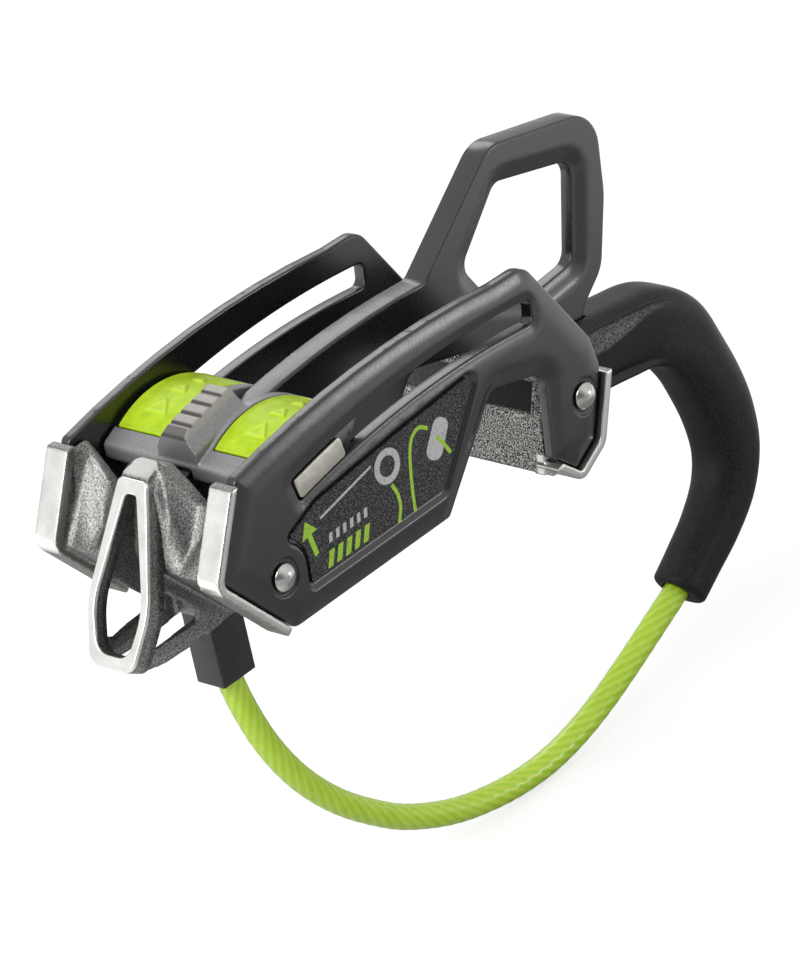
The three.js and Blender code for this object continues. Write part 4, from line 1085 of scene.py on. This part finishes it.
def sills():
    """Thick lower sills of the nose's side windows, from the ring's foot back to the bridge."""
    reach = lambda x: 4.1 + 1.3 * ease((x - SILL_FRONT) / 9)
    return [hull("sill", [(x, side * y, z) for x, z in loop for y in (2.8, reach(x))])
            for side in (-1, 1) for loop in (SILL, WEB)]


def front_casting():
    """The front casting, drawn in behind the nose ring, with a flat facet on top and polished flanges."""
    form = cast("front_insert", "cast_front_insert", 0.245, 5, sills())
    points, normals = design(form)
    depth = (points[:, [0, 2]] - NOSE_TOP) @ NOSE_IN
    near = (1 - ease((depth - NOSE_DEPTH + 0.6) / 0.6)) * (np.abs(points[:, 1]) < NOSE_HALF_WIDTH)
    points -= normals * (0.3 * near)[:, None]
    sink = 0.35 * (1 - ease(depth / 1.2)) * near
    points[:, [0, 2]] += sink[:, None] * NOSE_IN
    edge = NOSE_TOP - NOSE_EDGE * NOSE_UP
    slope = (NOSE_CREST - edge) / np.linalg.norm(NOSE_CREST - edge)
    facet = np.array([-slope[1], slope[0]])
    over = (points[:, [0, 2]] - edge) @ facet
    top = (np.abs(points[:, 1]) < 4.2) * (points[:, 0] < NOSE_CREST[0] + 0.6) * (points[:, 2] > 12)
    points[:, [0, 2]] -= (np.maximum(over, 0) * top)[:, None] * facet
    reshape(form, points)
    cap = 0.6 * ease((over + 0.25) / 0.2) * top * (points[:, 0] < NOSE_CREST[0])
    flange = ease((np.abs(points[:, 1]) - FLANGE_FROM) / 0.4) * ~within(points[:, [0, 2]], side_outline)
    flange *= gap_to(points[:, [0, 2]], side_outline) > 0.2
    flange *= ease((-normals[:, 0] - 0.75) / 0.15) + 0.7 * ease((np.abs(normals[:, 1]) - 0.75) / 0.15)
    mark(form, "polish", np.clip(np.maximum(cap, flange), 0, 1))
    fit(form, ["front_insert"], "frame", front_finish)


WALL_END = 60
WALL_REACH = 13.1
WALL_STEP = 0.4
WEAR_LINE = -4.95


def rear_casting():
    """The rear casting, whose front wall steps back above a line that the carabiner wears."""
    form = cast("rear_insert", "cast_rear_insert", 0.17, 2)
    points, normals = design(form)
    step = ease((points[:, 2] - WEAR_LINE) / 0.2)
    wall = (points[:, 0] < WALL_END) * (np.abs(points[:, 1]) < WALL_REACH)
    wall = ease((-normals[:, 0] - 0.6) / 0.2) * wall
    points[:, 0] += WALL_STEP * step * wall
    reshape(form, points)
    mark(form, "smooth", step * wall)
    rim = ease((np.abs(points[:, 1]) - 13.5) / 0.3) * ~within(points[:, [0, 2]], side_outline)
    # Polished rims, and the upper rope wall made near-white: wear, and a painted highlight of the top light
    mark(form, "polish", np.maximum(0.8 * rim, wall * ease((points[:, 2] - 5.5) / 2.5)))
    fit(form, ["rear_insert"], "frame", rear_finish)


nose_ring()
front_casting()
rear_casting()


# Slider, keys and cable block: copies of the solids with their edges rounded
def dressed(node, name, width):
    """A solid's copy with its edges bevelled by this many millimetres."""
    form = copy_of(node, name)
    bevel = form.modifiers.new("edges", "BEVEL")
    bevel.width = width * MM
    bevel.segments = 3
    bevel.limit_method = "ANGLE"
    bevel.angle_limit = math.radians(28)
    bevel.harden_normals = False
    settle(form)
    for face in form.data.polygons:
        face.use_smooth = True
    return form


TAB_FOOT = 4.3
TAB_HALF_WIDTH = 3
slider = cast("slider_body", "slider_with_thumb_tab", 0.17, 3)
points, normals = design(slider)
radial = np.hypot(points[:, 0] - ARC_CENTRE[0], points[:, 2] - ARC_CENTRE[1]) - CENTRE_TOP_RADIUS
on_tab = ease((radial - TAB_FOOT) / 0.5) * (np.abs(points[:, 1]) < TAB_HALF_WIDTH)
# Tab faces that face up: thumb wear and painted top light. Tab faces that face forward: painted shade on the
# risers
mark(slider, "worn", on_tab * ease(normals[:, 2] / 0.5))
mark(slider, "riser", on_tab * ease((-normals[:, 0] - 0.35) / 0.25))
fit(slider, ["slider_body"], "slider", slider_finish)
for word in ("left", "right"):
    key = dressed(f"slider_key_{word}", f"guide_key_{word}", 0.18)
    fit(key, [f"slider_key_{word}"], "slider", key_finish)
block = dressed("cable_block", "moulded_cable_block", 0.3)
fit(block, ["cable_block"], "frame", block_finish)


# Green inserts: curved crowned sheets with embossed triangles
SADDLE_RADIUS = 16.6
SADDLE_X = 12.6
SADDLE = np.array([SADDLE_X, SLOT_PEAK + SLOT_HEIGHT - SADDLE_RADIUS])
INSERT_THICKNESS = 1.2
INSERT_FRONT = 3.9
INSERT_REAR = 23.4
REAR_MARGIN = 1.6
INSERT_FROM = math.asin((INSERT_FRONT - SADDLE_X) / SADDLE_RADIUS) + CLEARANCE / SADDLE_RADIUS
INSERT_TO = math.asin((INSERT_REAR - SADDLE_X) / SADDLE_RADIUS) - REAR_MARGIN / SADDLE_RADIUS
ROPE_CHANNEL = 13.3
INSERT_LOW = CENTRE_FACE + 0.17 * ROPE_CHANNEL + CLEARANCE
INSERT_HIGH = 14.5
INSERT_MIDDLE = (INSERT_LOW + INSERT_HIGH) / 2 + 0.2
# Triangles: where each starts and ends along the insert, and half its width
TRIANGLES = [(3.4, 6.8, 2.5), (8.6, 11.2, 1.8), (13.0, 15.0, 1.4)]
EMBOSSING = 0.3


def insert_sheet(word, side):
    """One insert as a closed sheet, flat below and embossed above."""
    run = (INSERT_TO - INSERT_FROM) * SADDLE_RADIUS
    across = np.linspace(INSERT_LOW, INSERT_HIGH, 80)
    along = np.linspace(0, run, 160)
    grid = np.array([(a, y) for a in along for y in across])
    rim = np.minimum.reduce([
        grid[:, 0], run - grid[:, 0], grid[:, 1] - INSERT_LOW, INSERT_HIGH - grid[:, 1]])
    raised = np.zeros(len(grid))
    for start, tip, half in TRIANGLES:
        corners = [(start, -half), (tip, 0), (start, half)]
        loop = rounded([(x, INSERT_MIDDLE + y, 0.3) for x, y in corners])
        gap = gap_to(grid, loop) * np.where(within(grid, loop), 1, -1)
        raised = np.maximum(raised, ease((gap + 0.15) / 0.45) * (1 - 0.65 * ease((gap - 0.55) / 0.4)))
    height = -roll(rim, 0.35) - EMBOSSING * (1 - raised) * ease(rim / 0.7)
    angle = INSERT_FROM + grid[:, 0] / SADDLE_RADIUS
    tops = SADDLE_RADIUS + height
    floor = np.full(len(grid), SADDLE_RADIUS - INSERT_THICKNESS)
    points = [np.stack([SADDLE[0] + r * np.sin(angle), side * grid[:, 1], SADDLE[1] + r * np.cos(angle)], 1)
              for r in (floor, tops)]
    rows, columns, size = len(along), len(across), len(grid)
    quads = [(i * columns + j, i * columns + j + 1, (i + 1) * columns + j + 1, (i + 1) * columns + j)
             for i in range(rows - 1) for j in range(columns - 1)]
    border = [i * columns for i in range(rows)] + [(rows - 1) * columns + j for j in range(1, columns)]
    border += [i * columns + columns - 1 for i in range(rows - 2, -1, -1)] + list(range(columns - 2, 0, -1))
    faces = [q[::-1] for q in quads] + [tuple(v + size for v in q) for q in quads]
    faces += [(a, b, b + size, a + size) for a, b in zip(border, border[1:] + border[:1])]
    form = mesh_object(f"embossed_insert_{word}", np.vstack(points), faces)
    mark(form, "raised", np.concatenate([raised, raised]))
    fit(outward(form), [f"slider_insert_{word}"], "slider", insert_finish)


insert_sheet("left", -1)
insert_sheet("right", 1)


# Thumb handle: a hook lofted along its path, with side panels and a parting line
ROOT_WALL = 0.9
HANDLE_ROOT = -(SHANK_RADIUS + CLEARANCE + ROOT_WALL) / HANDLE_REACH
HANDLE_SHARES = [
    (HANDLE_ROOT, -0.040), (0.150, -0.072), (0.370, -0.100), (0.568, -0.125), (0.716, -0.150),
    (0.826, -0.212), (0.899, -0.313), (0.956, -0.430), (0.996, -0.558), (1.000, -0.679), (0.952, -0.785),
    (0.855, -0.872), (0.745, -0.938), (0.637, -1.000)]
handle_line = catmull([
    (RIVET_SPACING + x * HANDLE_REACH, 0, z * HANDLE_DROP - REAR_RIVET_DROP) for x, z in HANDLE_SHARES])
handle_length = lengths(handle_line)[-1]
ROOT_HEIGHT = 12.7
ROOT_WIDTH = 9.8
GRIP_START = 10.9
GRIP_END = 8.2
# The section is a rounded square at the root and nearly a circle at the grip
ROOT_POWER = 4.2
GRIP_POWER = 2.6
END_ROUNDING = 1.0
SEAM_DEPTH = 0.26


def panels(rise, share):
    """How far places lie in the upper and in the lower side panel, and the line between the panels. Rise is
    from -1 to 1 over the section, and share from 0 to 1 along the handle."""
    split = 0.10 + 0.55 * ease((share - 0.22) / 0.2)
    fade = 1 - ease((share - 0.30) / 0.14)
    over = ease((rise - split) / 0.05)
    upper = over * (1 - ease((rise - 0.66) / 0.08)) * fade
    return upper, ease((rise + 0.80) / 0.07) * (1 - over) * fade, split


def handle_form():
    """The handle's outer skin: rings along its path with rounded ends."""
    stations, sides = 170, 112
    turn = np.linspace(0, math.pi / 2, 6)
    close = (END_ROUNDING * (1 - np.cos(turn)) / handle_length)[:-1]
    body = np.linspace(END_ROUNDING / handle_length, 1 - END_ROUNDING / handle_length, stations)
    shares = np.concatenate([close, body, 1 - close[::-1]])
    drawn_in = (END_ROUNDING * (1 - np.sin(turn)))[:-1]
    insets = np.concatenate([drawn_in, np.zeros(stations), drawn_in[::-1]])
    centres = walk(handle_line, shares * handle_length)
    tangents = unit(np.gradient(centres, axis=0))
    cos, sin = round_turn(sides)
    rings = []
    for share, inset, centre_at, along in zip(shares, insets, centres, tangents):
        bend = ease((share - 0.38) / 0.18)
        grip = GRIP_START + (GRIP_END - GRIP_START) * ease((share - 0.56) / 0.44)
        height = ROOT_HEIGHT + (grip - ROOT_HEIGHT) * bend
        width = ROOT_WIDTH + (grip - ROOT_WIDTH) * bend
        power = ROOT_POWER + (GRIP_POWER - ROOT_POWER) * bend
        swell = (np.abs(cos) ** power + np.abs(sin) ** power) ** (-1 / power)
        across = (width / 2 - inset) * cos * swell
        rise = (height / 2 - inset) * sin * swell
        v = rise / (height / 2)
        upper, lower, split = panels(v, share)
        lean = np.clip((v - split) / (0.7 - split), 0, 1)
        scoop = np.clip((split - v) / (split + 0.8), 0, 1)
        recess = upper * (0.2 + 0.75 * lean) + lower * (0.35 + 1.25 * scoop)
        seam = SEAM_DEPTH * np.exp(-((v + 0.72) / 0.04) ** 2) * ease((share - 0.42) / 0.06)
        across -= np.sign(cos) * (recess * np.clip(np.abs(cos) * 3, 0, 1) + seam)
        up = np.array([-along[2], 0, along[0]])
        rings.append(centre_at + across[:, None] * np.array([0, 1, 0]) + rise[:, None] * up)
    return skin("moulded_thumb_handle", rings)


def tube_form(line, radius, sides=32):
    """Round bar along a line."""
    cos, sin = round_turn(sides)
    rings = []
    for centre_at, ahead in zip(line, unit(np.gradient(line, axis=0))):
        up = np.array([-ahead[2], 0, ahead[0]])
        section = cos[:, None] * np.array([0, 1, 0]) + sin[:, None] * up
        rings.append(centre_at + radius * section)
    return skin("bore", rings)


def panel_share(form):
    """How far each vertex lies in the grained panel along the upper half of the handle's straight root, where
    the material paints lighter specks as a highlight.
    """
    points, normals = design(form)
    at = np.linspace(0, 0.5, 90)
    centres = walk(handle_line, at * handle_length)[:, [0, 2]]
    nearest = np.linalg.norm(points[:, None, [0, 2]] - centres[None], axis=2).argmin(1)
    ahead = unit(np.gradient(centres, axis=0)[nearest])
    away = points[:, [0, 2]] - centres[nearest]
    rise = away[:, 1] * ahead[:, 0] - away[:, 0] * ahead[:, 1]
    upper = panels(rise / (ROOT_HEIGHT / 2), at[nearest])[0]
    return upper * ease((np.abs(normals[:, 1]) - 0.5) / 0.2)


handle = handle_form()
room = CENTRE_FACE + CLEARANCE
tang_room = sheet_form(grow(spaced(centre_outline, 1), CLEARANCE), -room, room)
shank = lathe("shank_room", [(0, -7), (SHANK_HOLE, -7), (SHANK_HOLE, 7), (0, 7)])
shank.data.transform(Matrix.Translation(Vector(row([(RIVET_SPACING, 0, -REAR_RIVET_DROP)])[0])))
bore = tube_form(walk(cable_line, np.linspace(cable_length - 13, cable_length, 20)), 2.3)
cutters = (tang_room, shank, bore)
for cutter in cutters:
    cut = handle.modifiers.new("cut", "BOOLEAN")
    cut.operation = "DIFFERENCE"
    cut.solver = "EXACT"
    cut.object = cutter
settle(handle)
for cutter in cutters:
    bpy.data.objects.remove(cutter)
for face in handle.data.polygons:
    face.use_smooth = True
# The panel's lighter specks are partly grain and partly a painted highlight
mark(handle, "panel", panel_share(handle))
fit(handle, ["thumb_handle"], "frame", handle_finish)


# Hidden parts that keep their solids
for node, finish in (
        ("detent_ball", rivet_finish), ("detent_spring", wire_finish), ("front_ferrule", key_finish),
        ("rear_ferrule", key_finish)):
    paint(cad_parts[node], finish)


# Floor, world and lamps. Both are white to the camera. Metal mirrors them dimmer beside the object and on the
# side of the photograph's viewpoint, a fixed direction, as in a studio with a dark side
CAMERA_SIDE = (BACK.x, BACK.y, 0)
SHADE_MIDDLE = (0.05, 0.05, 0)
FLOOR_ALBEDO = (0.35, 0.35, 0.35, 1)
FLOOR_GLOW = 0.76
SKY_LIGHT = 0.5
WHITE = (1, 1, 1, 1)


def pale_floor():
    """White to the camera with the object's shadow. Mirrored, it is dim near the object, a painted shadow of
    the object, and towards the viewpoint."""
    material = bpy.data.materials.new("pale_floor")
    material.use_nodes = True
    tree = material.node_tree
    tree.nodes.clear()
    rays = add(tree, "LightPath").node.outputs
    spot = add(tree, "TexCoord", output="Object")
    parts = add(tree, "SeparateXYZ", [spot]).node.outputs
    aside = add(tree, "Math", [parts[1]], operation="ABSOLUTE")
    beside = add(tree, "CombineXYZ", (parts[0], aside))
    away = add(tree, "VectorMath", (beside, SHADE_MIDDLE), "Value", operation="DISTANCE")
    forward = add(tree, "VectorMath", (spot, CAMERA_SIDE), "Value", operation="DOT_PRODUCT")
    # Painted shadow: mirrored rays see the floor dimmed near the object, standing in for its shadow
    near = add(tree, "MapRange", (away, 0.07, 0.165, 0.06, 1))
    ahead = add(tree, "MapRange", (forward, 0.06, 0.13, 1, 0.25))
    mirrored = add(tree, "Math", (near, ahead), operation="MULTIPLY")
    direct = add(tree, "Math", (rays["Is Camera Ray"], rays["Is Glossy Ray"]), operation="MAXIMUM")
    seen = add(tree, "Math", (direct, rays["Is Transmission Ray"]), operation="MAXIMUM")
    strength = add(tree, "Mix", {0: rays["Is Glossy Ray"], 2: FLOOR_GLOW, 3: mirrored})
    matt = add(tree, "BsdfDiffuse", {"Color": FLOOR_ALBEDO})
    glow = add(tree, "Emission", {"Color": WHITE, "Strength": strength})
    both = add(tree, "AddShader", (matt, glow))
    add(tree, "OutputMaterial", [add(tree, "MixShader", (seen, matt, both))])
    return material


floor_level = cad_box[0][2] - 0.0004
floor_corners = [(x, y, floor_level) for x, y in ((-6, -6), (6, -6), (6, 6), (-6, 6))]
floor = mesh_object("floor", floor_corners, [(0, 1, 2, 3)], metres=True)
paint(floor, pale_floor())

world = bpy.data.worlds.new("studio")
bpy.context.scene.world = world
world.use_nodes = True
sky = world.node_tree
sky.nodes.clear()
rays = add(sky, "LightPath").node.outputs
direction = add(sky, "TexCoord", output="Generated")
toward = add(sky, "VectorMath", (direction, CAMERA_SIDE), "Value", operation="DOT_PRODUCT")
behind = add(sky, "MapRange", (toward, -0.8, -0.35, 0.72, 1))
ahead = add(sky, "MapRange", (toward, 0.45, 0.8, 1, 0.25))
card = add(sky, "Math", (behind, ahead), operation="MULTIPLY")
clear = add(sky, "Math", (rays["Is Camera Ray"], rays["Is Transmission Ray"]), operation="MAXIMUM")
lit = add(sky, "Mix", {0: rays["Is Glossy Ray"], 2: SKY_LIGHT, 3: card})
strength = add(sky, "Mix", {0: clear, 2: lit, 3: 1})
add(sky, "OutputWorld", [add(sky, "Background", {"Color": WHITE, "Strength": strength})])


def lamp(name, spot, size, power):
    """Soft square lamp that faces the object."""
    light = bpy.data.lights.new(name, "AREA")
    light.shape = "SQUARE"
    light.size = size
    light.energy = power
    holder = new_object(name, light)
    holder.location = spot
    holder.rotation_mode = "QUATERNION"
    holder.rotation_quaternion = Vector(spot).to_track_quat("Z", "Y")


lamp("key", (-0.9, -0.1, 0.9), 0.6, 9.5)
lamp("rim", (0.75, 0.98, 0.85), 0.6, 3)
lamp("low_right", (0.66, -0.86, 0.04), 0.22, 1.2)
lamp("front", (-1.3, 0.25, 0.35), 0.75, 3.5)

bpy.context.scene.view_settings.view_transform = "Standard"
